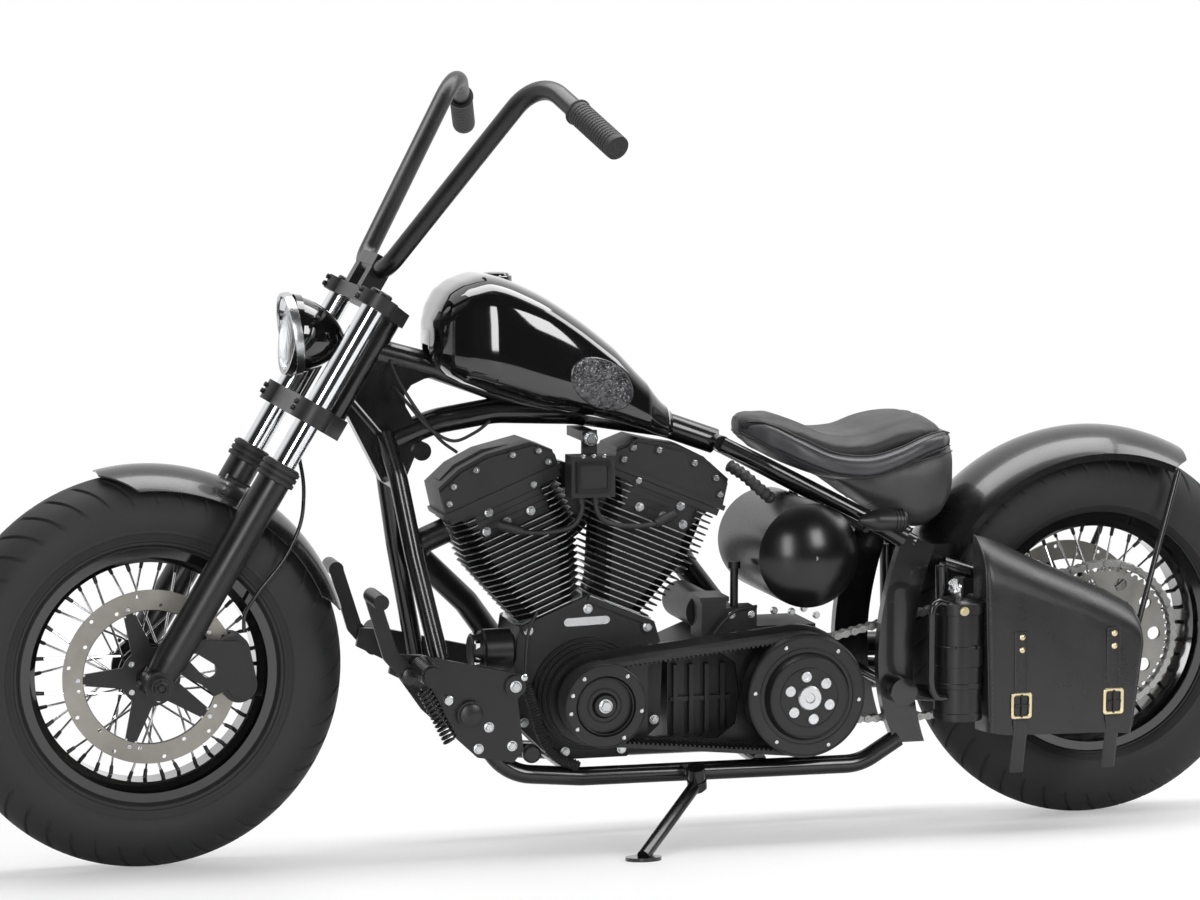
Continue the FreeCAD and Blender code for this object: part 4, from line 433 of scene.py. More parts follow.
THREAD = material("thread", (0.035, 0.035, 0.035), 0.5, grain=0.3, grain_scale=2500, vary=0.3, vary_scale=60)
BRASS = material("brass", (0.78, 0.66, 0.42), 0.30, metal=1, grain_scale=500)
CHAIN = material("chain_steel", (0.34, 0.34, 0.33), 0.34, metal=1, grain=0.3, grain_scale=300, vary=0.35)
HAMMERED = material("hammered_panel", (0.10, 0.10, 0.105), 0.26, metal=0.85, grain=0.5, grain_scale=420,
                    vary=0.7, vary_scale=90)


def ribbed_glass(name):
    made, tree, sockets = plain_material(name, {
        "Base Color": (0.95, 0.97, 1, 1), "Roughness": 0.06, "Transmission Weight": 1, "IOR": 1.45})
    where = add_node(tree, "TexCoord").outputs["Object"]
    ribs = add_node(tree, "TexWave", {"Vector": where, "Scale": 40, "Distortion": 0.4}, bands_direction="Y")
    bump = {"Height": ribs.outputs["Fac"], "Strength": 0.25, "Distance": 0.001}
    feed(sockets["Normal"], add_node(tree, "Bump", bump))
    return made


LENS = ribbed_glass("lens_glass")

FINISHES = {
    GLOSS: "fuel_tank front_rim rear_rim headlight",
    FENDER: "front_fender rear_fender",
    FRAME: "frame_spine frame_cradle rear_frame swingarm side_stand lamp_post brake_hose "
           "fender_stays",
    CAST: "crankcase front_cylinder rear_cylinder front_rocker_box rear_rocker_box gearbox cam_cover "
          "coil_box front_caliper rear_caliper",
    SATIN: "primary_plate engine_pulley clutch air_cleaner left_controls right_controls handlebar "
           "bar_risers exhaust_pipes front_axle rear_axle fork_sliders canister oil_filter",
    TANK_BLACK: "oil_tank",
    CHROME: "fork_tubes",
    CLAMP: "upper_clamp lower_clamp",
    DISC: "front_disc",
    REAR_DISC: "rear_disc",
    SPROCKET: "rear_sprocket",
    FRONT_SPOKES: "front_hub",
    REAR_SPOKES: "rear_hub",
    RUBBER: "front_tyre rear_tyre",
    GRIP: "grips",
    BELT: "primary_belt",
    LEATHER: "seat seat_skirt saddlebag",
    CHAIN: "drive_chain",
    LENS: "headlight_lens",
}
for finish, names in FINISHES.items():
    for node in names.split():
        node_mesh = NODES[node].data
        node_mesh.materials.clear()
        node_mesh.materials.append(finish)


# ---------------------------------------------------------------- wheels

# A tyre's section: half its width at the beads, the radii of the bead's seat, of the neck above it and
# of the rim's well, and the radius of the crown across the tread.
HEEL, SEAT_RADIUS, NECK, WELL, CROWN = 50.7, 203.3, 216, 212, 71
TREAD_END, SIDE_MARK = 70, 90
# The slanted grooves' depth, and where the groove round each side is, half its width and its depth.
GROOVE_DEPTH, RING_AT, RING_HALF, RING_DEPTH = 4.2, 5.5, 1.4, 4.0
# The spokes, how far round each runs, and where it meets the rim and the hub's flange.
SPOKES, SPOKE_TURN = 40, radians(36)
NIPPLE_RADIUS, NIPPLE_OUT, FLANGE_RADIUS, FLANGE_OUT = 185.4, 7.4, 44, 33
# How far from the middle the faces are that the wheels' bolts and axle caps stand on.
FRONT_DISC_FACE, REAR_DISC_FACE, SPROCKET_FACE = 64.5, -86.5, 97.5
FRONT_AXLE_END, REAR_AXLE_END, SLIDER_FOOT = 161.5, 156.5, 138


def tyre_profile(width):
    """The tyre's outside as (across, radius, mark) from bead to bead; the mark is the distance from
    the middle on the tread, and more than TREAD_END off it."""
    half, slope = width / 2, radians(45)
    shoulder = (half - CROWN * sin(slope)) / (1 - sin(slope))
    centre = TYRE_RADIUS - CROWN
    widest = centre + (CROWN - shoulder) * cos(slope)
    reach, drop = half - HEEL, widest - NECK
    side = (reach * reach + drop * drop) / (reach * 2)
    last = asin(drop / side)
    right = []
    for step in range(17):
        angle = slope * step / 16
        across = CROWN * sin(angle)
        right.append((across, centre + CROWN * cos(angle), across))
    for step in range(1, 9):
        angle = slope + (pi / 2 - slope) * step / 8
        right.append((half - shoulder + shoulder * sin(angle), widest + shoulder * cos(angle),
                      60 + step))
    for step in range(1, 25):
        angle = last * step / 24
        rib = {9: 0.9, 10: 0.9, 17: 0.7, 20: 1.6, 21: 1.6}.get(step, 0)
        right.append((half - side + (side + rib) * cos(angle), widest - (side + rib) * sin(angle),
                      SIDE_MARK))
    right += [(HEEL, NECK, SIDE_MARK), (HEEL, SEAT_RADIUS, SIDE_MARK)]
    return [(-across, radius, mark) for across, radius, mark in reversed(right[1:])] + right


def tread_depth(across):
    """How deep the slanted grooves are at a distance from the middle."""
    return GROOVE_DEPTH * max(0.0, min(1.0, (across - 10) / 7)) * max(0.0, min(1.0, (68 - across) / 6))


def make_tyre(name, matrix, width, body, node):
    """A tyre with slanted grooves either side of two that run round it."""
    profile = tyre_profile(width)
    pitches, columns, grooved = 44, (0.0, 0.20, 0.50, 0.72, 0.76, 0.86, 0.90), (4, 5)
    loops = []
    for pitch in range(pitches):
        for column, share in enumerate(columns):
            loop = []
            for across, radius, mark in profile:
                band = abs(across) if mark < TREAD_END else SIDE_MARK
                slant = 0.16 * (min(abs(across), 66) / 66) ** 1.3
                offset = 0.5 if across > 0 else 0.0
                angle = (pitch + share + offset * min(1, abs(across) / 12)) * tau / pitches + slant
                depth = tread_depth(band) if column in grooved else 0
                if abs(abs(across) - RING_AT) < RING_HALF and mark < TREAD_END:
                    depth = RING_DEPTH
                size = radius - depth
                loop.append((size * cos(angle), across, size * sin(angle)))
            loops.append(loop)
    inner = [(-HEEL, SEAT_RADIUS), (-40, SEAT_RADIUS), (-40, WELL), (40, WELL), (40, SEAT_RADIUS),
             (HEEL, SEAT_RADIUS)]
    kit = Kit(matrix).add(rings(loops, closed=True, wrap=False)).add(turned(inner, 96), LEFT)
    kit.make(name, body, "tyre_rubber", RUBBER, 34, [node])


def nipples(name, matrix, body):
    """A black nipple where each spoke meets the rim."""
    kit = Kit(matrix)
    for index in range(SPOKES):
        side = 1 if index % 2 else -1
        way = 1 if index // 2 % 2 else -1
        rim = tau * index / SPOKES
        hub = rim - way * SPOKE_TURN
        tip = Vector((NIPPLE_RADIUS * cos(rim), side * NIPPLE_OUT, NIPPLE_RADIUS * sin(rim)))
        root = Vector((FLANGE_RADIUS * cos(hub), side * (FLANGE_OUT + way * 4), FLANGE_RADIUS * sin(hub)))
        kit.add(turned([(0, 2.2), (0, 3.6), (13, 3.2), (15, 2.6), (15, 0)], 10),
                towards(tip, root - tip))
    kit.make(name, body, "rim_black", SATIN, 40)


def out_from_axle(radius, angle, across, side):
    """A place on a wheel's flank, facing out along its axle."""
    return towards((radius * cos(angle), across, radius * sin(angle)), (0, side, 0))


def wheel_bolts():
    """The disc carrier's bolts at the hub and at its arms' ends, and the sprocket's."""
    arm = ((40, 0.5, 5.2), (121, 0.0, 4.2), (111, 0.06, 2.4), (111, -0.06, 2.4))
    for matrix, body, name, face, side in (
            (FRONT_WHEEL, "front_wheel", "front_disc_bolts", FRONT_DISC_FACE, 1),
            (REAR_WHEEL, "rear_wheel", "rear_disc_bolts", REAR_DISC_FACE, -1)):
        kit = Kit(matrix)
        for index in range(5):
            for reach, shift, size in arm:
                kit.add(cap_bolt(size, size * 0.8),
                        out_from_axle(reach, tau * (index + shift) / 5, face, side))
        kit.make(name, body, "steel", BRIGHT, 35)
    places = [out_from_axle(42, tau * (index + 0.25) / 5, SPROCKET_FACE, 1) for index in range(5)]
    Kit(REAR_WHEEL).many(hex_bolt(6.5, 7), places).make("sprocket_bolts", "rear_wheel", "steel", BRIGHT, 35)


make_tyre("front_tyre_treaded", FRONT_WHEEL, 142, "front_wheel", "front_tyre")
make_tyre("rear_tyre_treaded", REAR_WHEEL, 156, "rear_wheel", "rear_tyre")
nipples("front_nipples", FRONT_WHEEL, "front_wheel")
nipples("rear_nipples", REAR_WHEEL, "rear_wheel")


def axle_caps():
    """Nuts on the axles' ends, and the pinch bolts under the sliders."""
    cap = join(hex_bolt(13, 7), turned([(7, 8), (9, 8), (10, 6.5), (8, 5), (8, 0)], 24))
    kit = Kit(FORK)
    for side in (1, -1):
        kit.add(cap, towards((0, side * FRONT_AXLE_END, 0), (0, side, 0)))
        kit.many(cap_bolt(4.5, 5), [towards((27.5, side * SLIDER_FOOT, level), (1, 0, 0))
                                    for level in (-12, 14)])
    kit.make("front_axle_caps", "fork", "steel", SATIN, 35)
    ends = [towards((0, side * REAR_AXLE_END, 0), (0, side, 0)) for side in (1, -1)]
    kit = Kit(REAR_WHEEL).many(cap, ends)
    kit.make("rear_axle_caps", "frame", "steel", BRIGHT, 35)


# ---------------------------------------------------------------- chain and belt

def loop_path(front, front_radius, rear, rear_radius, spacing):
    """Places along a closed line round two wheels, evenly spaced, as (x, z)."""
    run = Vector((rear[0] - front[0], rear[1] - front[1]))
    along = run / run.length
    swing = asin((rear_radius - front_radius) / run.length)
    square = Vector((-along.y, along.x))
    ends = []
    for sign in (1, -1):
        normal = square * -sign * cos(swing) - along * sin(swing)
        ends.append((Vector(front) + normal * front_radius, Vector(rear) + normal * rear_radius))
    points = []

    def arc(centre, radius, start, end):
        a = atan2(start.y - centre[1], start.x - centre[0])
        b = atan2(end.y - centre[1], end.x - centre[0])
        sweep = (a - b) % tau
        steps = max(4, int(radius * sweep))
        for step in range(steps):
            angle = a - sweep * step / steps
            points.append(Vector((centre[0] + radius * cos(angle), centre[1] + radius * sin(angle))))

    def line(start, end):
        steps = max(2, int((end - start).length))
        points.extend(start.lerp(end, step / steps) for step in range(steps))

    lower, upper = sorted(ends, key=lambda pair: pair[0].y)
    line(lower[0], lower[1])
    arc(rear, rear_radius, lower[1], upper[1])
    line(upper[1], upper[0])
    arc(front, front_radius, upper[0], lower[0])
    total = sum((b - a).length for a, b in wrapped(points))
    count = 2 * round(total / spacing / 2)
    step, gone, places = total / count, 0.0, []
    for a, b in wrapped(points):
        reach = (b - a).length
        while len(places) < count and gone + reach >= step * len(places) - 1e-6:
            share = (step * len(places) - gone) / reach
            places.append(a.lerp(b, max(0, min(1, share))))
        gone += reach
    return places


CHAIN_Y, PITCH, FRONT_TEETH, REAR_TEETH = 94, 15.875, 25, 51
# The belt's middle, the radii it runs at, those that its free runs start beyond, and its teeth.
BELT_Y, PULLEY_RADIUS, CLUTCH_RADIUS, TOOTH_SPACING = 167.5, 62.3, 98.3, 8.2
PULLEY_CLEAR, CLUTCH_CLEAR = 66, 102
CLUTCH_AT, AXLE_AT, CRANK_AT = (-257, 271), (-WHEELBASE / 2, TYRE_RADIUS), (96, 270)


def pitch_radius(teeth):
    return PITCH / 2 / sin(pi / teeth)


def chain():
    """Waisted side plates, rollers and riveted pins."""
    kit = Kit(BIKE)
    pins = loop_path(CLUTCH_AT, pitch_radius(FRONT_TEETH), AXLE_AT, pitch_radius(REAR_TEETH), PITCH)
    half = []
    for step in range(7):
        angle = pi / 2 + pi * step / 6
        half.append((-PITCH / 2 + 6.8 * cos(angle), 6.8 * sin(angle)))
    outline = half + [(0, -4.4)] + [(-x, -y) for x, y in half] + [(0, 4.4)]
    rivet = turned([(-10.2, 0), (-10.2, 2.0), (-9.6, 2.6), (9.6, 2.6), (10.2, 2.0), (10.2, 0)], 8)
    roller = turned([(-4.8, 3), (-4.8, 5.0), (4.8, 5.0), (4.8, 3)], 10)
    across = Vector((0, 1, 0))
    for index, (a, b) in enumerate(wrapped(pins)):
        middle = (a + b) / 2
        along = Vector((b.x - a.x, 0, b.y - a.y)).normalized()
        turn = with_columns(along, across.cross(along) * -1, across)
        at = Matrix.Translation((middle.x, CHAIN_Y, middle.y)) @ turn
        out = 8.6 if index % 2 else 6.1
        for side in (1, -1):
            kit.add(slab(outline, side * out - 1.1, side * out + 1.1, 0.5), at)
        pin = Matrix.Translation((a.x, CHAIN_Y, a.y)) @ Matrix.Rotation(pi / 2, 4, "X")
        kit.add(rivet, pin)
        kit.add(roller, pin)
    kit.make("chain_linked", "frame", "steel", CHAIN, 40, ["drive_chain"])


def belt_teeth():
    """Teeth on the inside of the belt's two free runs."""
    kit = Kit(BIKE)
    places = loop_path(CRANK_AT, PULLEY_RADIUS, CLUTCH_AT, CLUTCH_RADIUS, TOOTH_SPACING)
    centre = Vector(CRANK_AT).lerp(Vector(CLUTCH_AT), 0.5)
    for index, place in enumerate(places):
        along = (places[(index + 1) % len(places)] - places[index - 1]).normalized()
        on_pulley = (place - Vector(CRANK_AT)).length <= PULLEY_CLEAR
        if on_pulley or (place - Vector(CLUTCH_AT)).length <= CLUTCH_CLEAR:
            continue
        inward = Vector((-along.y, along.x))
        if inward.dot(centre - place) < 0:
            inward = -inward
        tooth = [(-2.6, 0), (2.6, 0), (1.7, 3.6), (-1.7, 3.6)]
        turn = with_columns((along.x, 0, along.y), (inward.x, 0, inward.y), (0, 1, 0))
        kit.add(slab(tooth, -22, 22, 0.4), Matrix.Translation((place.x, BELT_Y, place.y)) @ turn)
    kit.make("belt_teeth", "frame", "rubber", BELT, 30)


# ---------------------------------------------------------------- engine

def on_cylinder(lean):
    """The frame of a leaning cylinder: X outward along the machine, Y across it, Z up the bore."""
    angle = radians(22.5) * lean
    up = (sin(angle), 0, cos(angle))
    out = Vector((cos(angle), 0, -sin(angle))) * (1 if lean > 0 else -1)
    return Matrix.Translation((CRANK_AT[0], 0, CRANK_AT[1])) @ with_columns(out, (0, 1, 0), up)


# The fins on a cylinder, and the level above which the head's plain bay parts them.
FINS, FIRST_FIN, FIN_SPACING, FIN_DEPTH, FIN_CORNER, BAY_LEVEL = 19, 159, 11, 72, 24, 316


def fin_edges():
    """The machined bright edge of each fin, broken where the head's plain bay is let in."""
    kit = Kit(BIKE)
    for lean in (1, -1):
        at = on_cylinder(lean)
        for index in range(FINS):
            half = 58 + 42 * min(index / 11, 1)
            level = FIRST_FIN + index * FIN_SPACING
            ends = [(half - FIN_CORNER, FIN_DEPTH), (half, FIN_DEPTH - FIN_CORNER)]
            ends += [(x, -y) for x, y in reversed(ends)]
            if level > BAY_LEVEL:
                ends = [(62, FIN_DEPTH)] + ends + [(62, -FIN_DEPTH)]
                lines = [ends, [(-x, y) for x, y in ends]]
            else:
                lines = [ends + [(-x, y) for x, y in reversed(ends)]]
            for line in lines:
                loops = []
                for out, lift in ((0, 0.6), (0.7, 0.9), (0.7, 2.3), (0, 2.6)):
                    grow = 1 + out / FIN_DEPTH
                    loops.append([(x * grow, y * grow, level + lift) for x, y in line])
                kit.add(rings(loops, caps=False, wrap=len(lines) == 1), at)
        base = [(58, 66), (66, 40), (66, -40), (58, -66)]
        base += [(-x, y) for x, y in reversed(base)]
        kit.add(slab(base, 156.8, 159.4, 0.5), at)
    kit.make("fin_edges", "frame", "steel", BRIGHT, 20)


# How far out to the left the faces are that the bolts stand on.
ROCKER_FACE, HEAD_FACE, CRANK_FACE, PULLEY_FACE = 64.4, 60.5, 191.9, 195.9
CLUTCH_FACE, CLUTCH_HUB_FACE, CONTROL_FACE = 198.9, 211.9, 144.2
# The bolts on a rocker box and on a head: (outward from the cylinder's axis, up from the crank).
ROCKER_BOLTS = ((-92, 396), (-84, 420), (-40, 432), (28, 434), (74, 424), (92, 400))
HEAD_BOLTS = ((-54, 371), (35, 357), (51, 329), (-33, 330), (12, 330))
# The hexagon bolts of the cases and covers, as (head radius, head height, y, places in (x, z)).
CASE_BOLTS = (
    (6.5, 7, 74.9, ((200, 384), (212, 288), (208, 226), (136, 172), (36, 172), (-22, 220), (-26, 328),
                    (-10, 382))),
    (6.5, 7, 72, ((95, 417),)),
    (9.5, 8, 101.9, ((98, 712),)),
    (5.5, 6, 60, ((-242, 398), (-296, 400), (-274, 395), (-319, 387))),
    (5.0, 5, 93.3, ((-104, 182), (-160, 182), (-56, 186), (-344, 318))),
    (5.0, 5, 76, ((-196, 396), (-160, 396))))


def engine_bolts():
    """Bright heads on the rocker boxes, heads, cases and covers of the left side."""
    kit = Kit(BIKE)
    small, large = cap_bolt(3.6, 3.5), cap_bolt(5.4, 5.5)
    for lean in (1, -1):
        at = on_cylinder(lean)
        kit.many(large, [at @ facing(x, ROCKER_FACE, z) for x, z in ROCKER_BOLTS])
        kit.many(hex_bolt(6.2, 9), [at @ facing(x, HEAD_FACE, z) for x, z in HEAD_BOLTS])
    for radius, height, y, places in CASE_BOLTS:
        kit.many(hex_bolt(radius, height), [facing(x, y, z) for x, z in places])
    for angle in (0.9, 0.35, -0.15, -0.62, 2.2, 3.3, 4.2):
        kit.add(small, beside(CRANK_AT, 62, angle, PULLEY_FACE))
    for index in range(6):
        angle = tau * index / 6
        kit.add(small, beside(CLUTCH_AT, 93, angle + 0.1, CLUTCH_FACE))
        kit.add(cap_bolt(9.2, 5), beside(CLUTCH_AT, 37, angle + 0.35, CLUTCH_HUB_FACE))
    hub = [(0, 21), (4.5, 21), (6.5, 19), (6.5, 9), (3.5, 7.5), (3.5, 0)]
    kit.add(turned(hub, 40), beside(CLUTCH_AT, 0, 0, CLUTCH_HUB_FACE))
    kit.add(hex_bolt(9.5, 8), beside(CRANK_AT, 0, 0, CRANK_FACE))
    kit.add(slab(pill(41, 7.8), 0, 3, 0.8), facing(97, 71.9, 396) @ Matrix.Rotation(0.03, 4, "Z"))
    kit.make("engine_bolts", "frame", "steel", BRIGHT, 35)


# The turned lips of the pulley, the clutch and the case, as (centre, width, height, (radius, y)...).
COVER_RINGS = (
    (CRANK_AT, 2.4, 1.6, ((70.5, 195.8), (49, 193.5), (30, 185.8))),
    (CLUTCH_AT, 2.2, 1.4, ((103, 198.8), (84, 198.8), (69.5, 211.8), (52, 211.8))),
    (CRANK_AT, 2.5, 1.5, ((97, 79.8), (91, 89.8), (85, 101.8))))
FILTER_AT = (296, 62, 352)


def cover_rings():
    """The turned steps and lips on the pulley, the clutch and the case, and the oil filter's nut."""
    kit = Kit(BIKE)
    for centre, width, height, lips in COVER_RINGS:
        for radius, y in lips:
            profile = [(0, radius), (height * 0.6, radius), (height, radius - width * 0.3),
                       (height, radius - width * 0.7), (height * 0.6, radius - width), (0, radius - width)]
            kit.add(turned(profile, 72), beside(centre, 0, 0, y))
    kit.make("cover_rings", "frame", "matt_black", SATIN, 35)
    at = Matrix.Translation(FILTER_AT) @ Matrix.Rotation(pi / 2, 4, "Y")
    kit = Kit(BIKE).add(turned([(-8, 31), (-8, 33), (-1, 33), (1, 31), (1, 29)], 6), at)
    kit.make("filter_ring", "frame", "chrome", CHROME, 35)


# The two leads from the coil box to the plugs.
LEAD_ROUTES = (
    [(117, 112, 618), (117, 114, 592), (132, 112, 566), (172, 106, 556), (212, 98, 557), (244, 84, 566)],
    [(92, 112, 618), (90, 114, 590), (72, 112, 570), (30, 106, 561), (-14, 98, 562), (-46, 84, 572)])


def spark_leads():
    """Two leads from the coil box down and out to the plugs, with their boots."""
    kit = Kit(BIKE)
    for route in LEAD_ROUTES:
        route = [Vector(point) for point in route]
        kit.add(swept(smooth_path(route), 4.4, 10))
        boot = [route[-1] + (route[-1] - route[-2]).normalized() * reach for reach in (-34, -20, -4, 10)]
        kit.add(swept(boot, lambda share: 6.2 + 2.6 * min(1, share * 3), 14))
        kit.add(swept([route[0], route[0] - Vector((0, 0, 14))], 7.2, 14))
    kit.make("spark_leads", "frame", "rubber", GRIP, 40)


COIL_AT = (102, 140, 651)


def coil_details():
    """The raised frame and the bolts on the coil box's cover."""
    outer, inner = rounded_box(29, 26, 5), rounded_box(23, 20, 4)
    loops = [[(COIL_AT[0] + x, COIL_AT[1] + lift, COIL_AT[2] + z) for x, z in line]
             for line, lift in ((outer, -0.2), (outer, 2.2), (inner, 2.2), (inner, -0.2))]
    Kit(BIKE).add(rings(loops, closed=True)).make("coil_frame", "frame", "matt_black", SATIN, 35)
    bolts = Kit(BIKE).many(cap_bolt(3.6, 4), [facing(x, 136, 686) for x in (84, 102, 120)])
    bolts.make("coil_bolts", "frame", "steel", BRIGHT, 35)


def coil_spring(start, end, radius, wire, turns):
    """A round wire wound between two places."""
    start, end = Vector(start), Vector(end)
    run = end - start
    side = run.orthogonal().normalized()
    other = run.normalized().cross(side)
    path = []
    for step in range(turns * 14 + 1):
        share = step / (turns * 14)
        angle = tau * turns * share
        path.append(start + run * share + (side * cos(angle) + other * sin(angle)) * radius)
    return swept(path, wire, 6)


def ribbed(route, radius, pitch=5.0):
    """A corrugated hose along a smooth line."""
    path = smooth_path(route, 10)
    length = sum((b - a).length for a, b in zip(path, path[1:]))
    count = int(length / pitch * 4)
    even, gone, index = [], 0.0, 0
    for step in range(count + 1):
        aim = length * step / count
        while index < len(path) - 2 and gone + (path[index + 1] - path[index]).length < aim:
            gone += (path[index + 1] - path[index]).length
            index += 1
        share = (aim - gone) / (path[index + 1] - path[index]).length
        even.append(path[index].lerp(path[index + 1], min(1, share)))
    return swept(even, lambda share: radius * (1 + 0.13 * cos(tau * round(share * count) / 4)), 14)


# The cables at the neck and the pipes at the engine's left, from end to end.
CABLE_ROUTES = (
    [(420, 20, 800), (404, 62, 776), (372, 78, 736), (330, 74, 712), (290, 66, 724), (262, 58, 742)],
    [(428, -6, 860), (420, 48, 820), (392, 70, 768), (352, 66, 716), (318, 52, 690)],
    [(-104, 88, 330), (-126, 96, 372), (-160, 92, 404), (-204, 80, 410)],
    [(190, 96, 420), (206, 100, 386), (214, 112, 340), (216, 118, 304)])
# Round caps over the controls and cases, as (profile, steps, place).
CONTROL_CAPS = (
    ([(0, 20), (3, 20), (5, 17), (5, 0)], 32, (318, 153.2, 258)),
    ([(0, 16), (8, 16), (11, 12), (11, 0)], 32, (211, 134, 185)),
    ([(0, 15), (4, 15), (6, 12), (6, 0)], 28, (424, 158.2, 330)),
    ([(0, 14), (3, 14), (5, 11), (5, 0)], 28, (-447, 127.4, 262)))


def lines_and_springs():
    """Breather hoses, cables, a return spring, and the bolts and caps of the left controls."""
    hoses = Kit(BIKE)
    pulley_hose = [(216, 118, 300), (204, 124, 262), (192, 128, 216), (168, 130, 178), (128, 132, 157)]
    seat_hose = [(-158, 70, 654), (-176, 96, 640), (-200, 108, 617), (-224, 100, 598)]
    hoses.add(ribbed(pulley_hose, 9)).add(ribbed(seat_hose, 10, 12))
    hoses.make("breather_hoses", "frame", "rubber", GRIP, 50)
    wires = Kit(BIKE)
    for route in CABLE_ROUTES:
        wires.add(swept(smooth_path(route), 2.9, 8))
    wires.make("cable_runs", "frame", "rubber", GRIP, 50)
    spring = coil_spring((398, 146, 306), (352, 146, 214), 11, 2.4, 13)
    Kit(BIKE).add(spring).make("return_spring", "frame", "rubber", SATIN, 60)
    bright = Kit(BIKE)
    for x, z in ((286, 235), (246, 201), (304, 199)):
        bright.add(hex_bolt(7, 7), facing(x, CONTROL_FACE, z))
    bright.add(hex_bolt(8, 7), facing(241, 151.2, 303))
    bright.add(turned([(0, 9), (6, 9), (8, 7), (8, 0)], 24), facing(356, CONTROL_FACE, 284))
    bright.add(turned([(0, 6), (9, 6), (10, 4), (10, 0)], 20), facing(226, 144, 318))
    bright.make("control_bolts", "frame", "steel", BRIGHT, 35)
    dark = Kit(BIKE)
    for profile, steps, place in CONTROL_CAPS:
        dark.add(turned(profile, steps), facing(*place))
    dark.make("control_caps", "frame", "matt_black", SATIN, 35)


# ---------------------------------------------------------------- seat, bag and canister

def sampled(stations, x):
    """A station between those listed, by a smooth curve."""
    xs = [station[0] for station in stations]
    for index in range(len(xs) - 1):
        if xs[index] >= x >= xs[index + 1]:
            break
    t = (xs[index] - x) / (xs[index] - xs[index + 1])
    p = [stations[max(0, min(len(stations) - 1, index + k))] for k in (-1, 0, 1, 2)]
    return [blend(*values, t) for values in zip(*p)]


# Stations from front to back, each as (x, half width, low, high).
SEAT_BAND_STATIONS = [
    (-190, 26, 700, 726), (-202, 50, 690, 730), (-224, 76, 673, 731), (-275, 114, 648, 708),
    (-330, 135, 628, 683), (-390, 146, 624, 678), (-440, 147, 638, 690), (-490, 140, 658, 708),
    (-530, 118, 668, 712), (-554, 84, 672, 704)]
SEAT_PAD_STATIONS = [
    (-190, 24, 706, 739), (-202, 47, 698, 745), (-226, 70, 688, 747), (-275, 105, 668, 730),
    (-330, 124, 652, 707), (-390, 134, 650, 707), (-440, 135, 664, 722), (-490, 128, 682, 731),
    (-526, 106, 692, 728), (-546, 74, 692, 714)]


def station_row(stations, row, rows):
    """One of the rows between the first station and the last, closer together at the ends."""
    first, last = stations[0][0], stations[-1][0]
    x = first + (last - first) * (0.5 - 0.5 * cos(pi * row / rows))
    return (x, *sampled(stations, x)[1:])


def crowned(stations, power, rows, dip, steps=64):
    """A closed form through the stations, with a top that dips in the middle."""
    angles = all_round(steps)
    loops = []
    for row in range(rows + 1):
        x, width, low, high = station_row(stations, row, rows)
        hollow = dip * sin(pi * row / rows)
        loops.append([(x, y, z - hollow * max(0, 1 - (y / width) ** 2) * (z > (low + high) / 2))
                      for y, z in oval(width, low, high, power, angles)])
    return rings(loops)


def apply_modifier(piece, kind, **settings):
    """Add a modifier with its settings, and apply it to the mesh."""
    modifier = piece.modifiers.new(kind.lower(), kind)
    for name, value in settings.items():
        setattr(modifier, name, value)
    bpy.ops.object.modifier_apply(modifier=modifier.name)


CLOTH_FRAMES = 20


def inflate(piece, voxel, pressure, most):
    """Swell a padded piece by cloth simulation, then let no point go further than it may."""
    bpy.context.view_layer.objects.active = piece
    piece.select_set(True)
    apply_modifier(piece, "REMESH", mode="VOXEL", voxel_size=voxel)
    start = [vertex.co.copy() for vertex in piece.data.vertices]
    cloth = piece.modifiers.new("cloth", "CLOTH")
    cloth.settings.quality = 4
    cloth.settings.use_pressure = True
    cloth.settings.uniform_pressure_force = pressure
    cloth.settings.effector_weights.gravity = 0
    cloth.point_cache.frame_start, cloth.point_cache.frame_end = 1, CLOTH_FRAMES
    for step in range(1, CLOTH_FRAMES + 1):
        bpy.context.scene.frame_set(step)
    swollen = piece.evaluated_get(bpy.context.evaluated_depsgraph_get())
    moved = []
    for before, vertex in zip(start, swollen.to_mesh().vertices):
        shift = vertex.co - before
        moved.append(before + shift * min(1, most / max(shift.length, 1e-9)))
    swollen.to_mesh_clear()
    piece.modifiers.remove(cloth)
    bpy.context.scene.frame_set(1)
    for vertex, place in zip(piece.data.vertices, moved):
        vertex.co = place
    apply_modifier(piece, "SMOOTH", factor=0.5, iterations=3)
    apply_modifier(piece, "SUBSURF", levels=1)
    for face in piece.data.polygons:
        face.use_smooth = True
    piece.select_set(False)


def edge_run(stations, share, out, rows=70):
    """A closed line round the seat at a share of its height, a little way out from it."""
    near, far = [], []
    for row in range(rows + 1):
        x, width, low, high = station_row(stations, row, rows)
        z = low + (high - low) * share
        near.append(Vector((x, width + out, z)))
        far.append(Vector((x, -width - out, z)))
    return near + far[::-1]


def seat():
    """A glossy band with a matt padded top, piping between them and along the band's foot."""
    # The band's colour carries painted sheen; the pad's and the piping's carry painted shade.
    band = Kit(BIKE).add(crowned(SEAT_BAND_STATIONS, 3.0, 72, 0))
    band.make("seat_band", "frame", "leather", BAND_LEATHER_AND_SHEEN, 50, ["seat"])
    pad = Kit(BIKE).add(crowned(SEAT_PAD_STATIONS, 2.8, 60, 9))
    piece = pad.make("seat_pad", "frame", "leather", PAD_LEATHER_AND_SHADE, 60, ["seat"])
    inflate(piece, voxel=0.005, pressure=4.0, most=0.007)
    piping = Kit(BIKE)
    for share, out, radius in ((0.90, -5.0, 1.7), (0.22, -1.0, 1.5)):
        line = edge_run(SEAT_BAND_STATIONS, share, out)
        piping.add(swept(line + [line[0]], radius, 8))
    piping.make("seat_piping", "frame", "leather", PAD_LEATHER_AND_SHADE, 60)


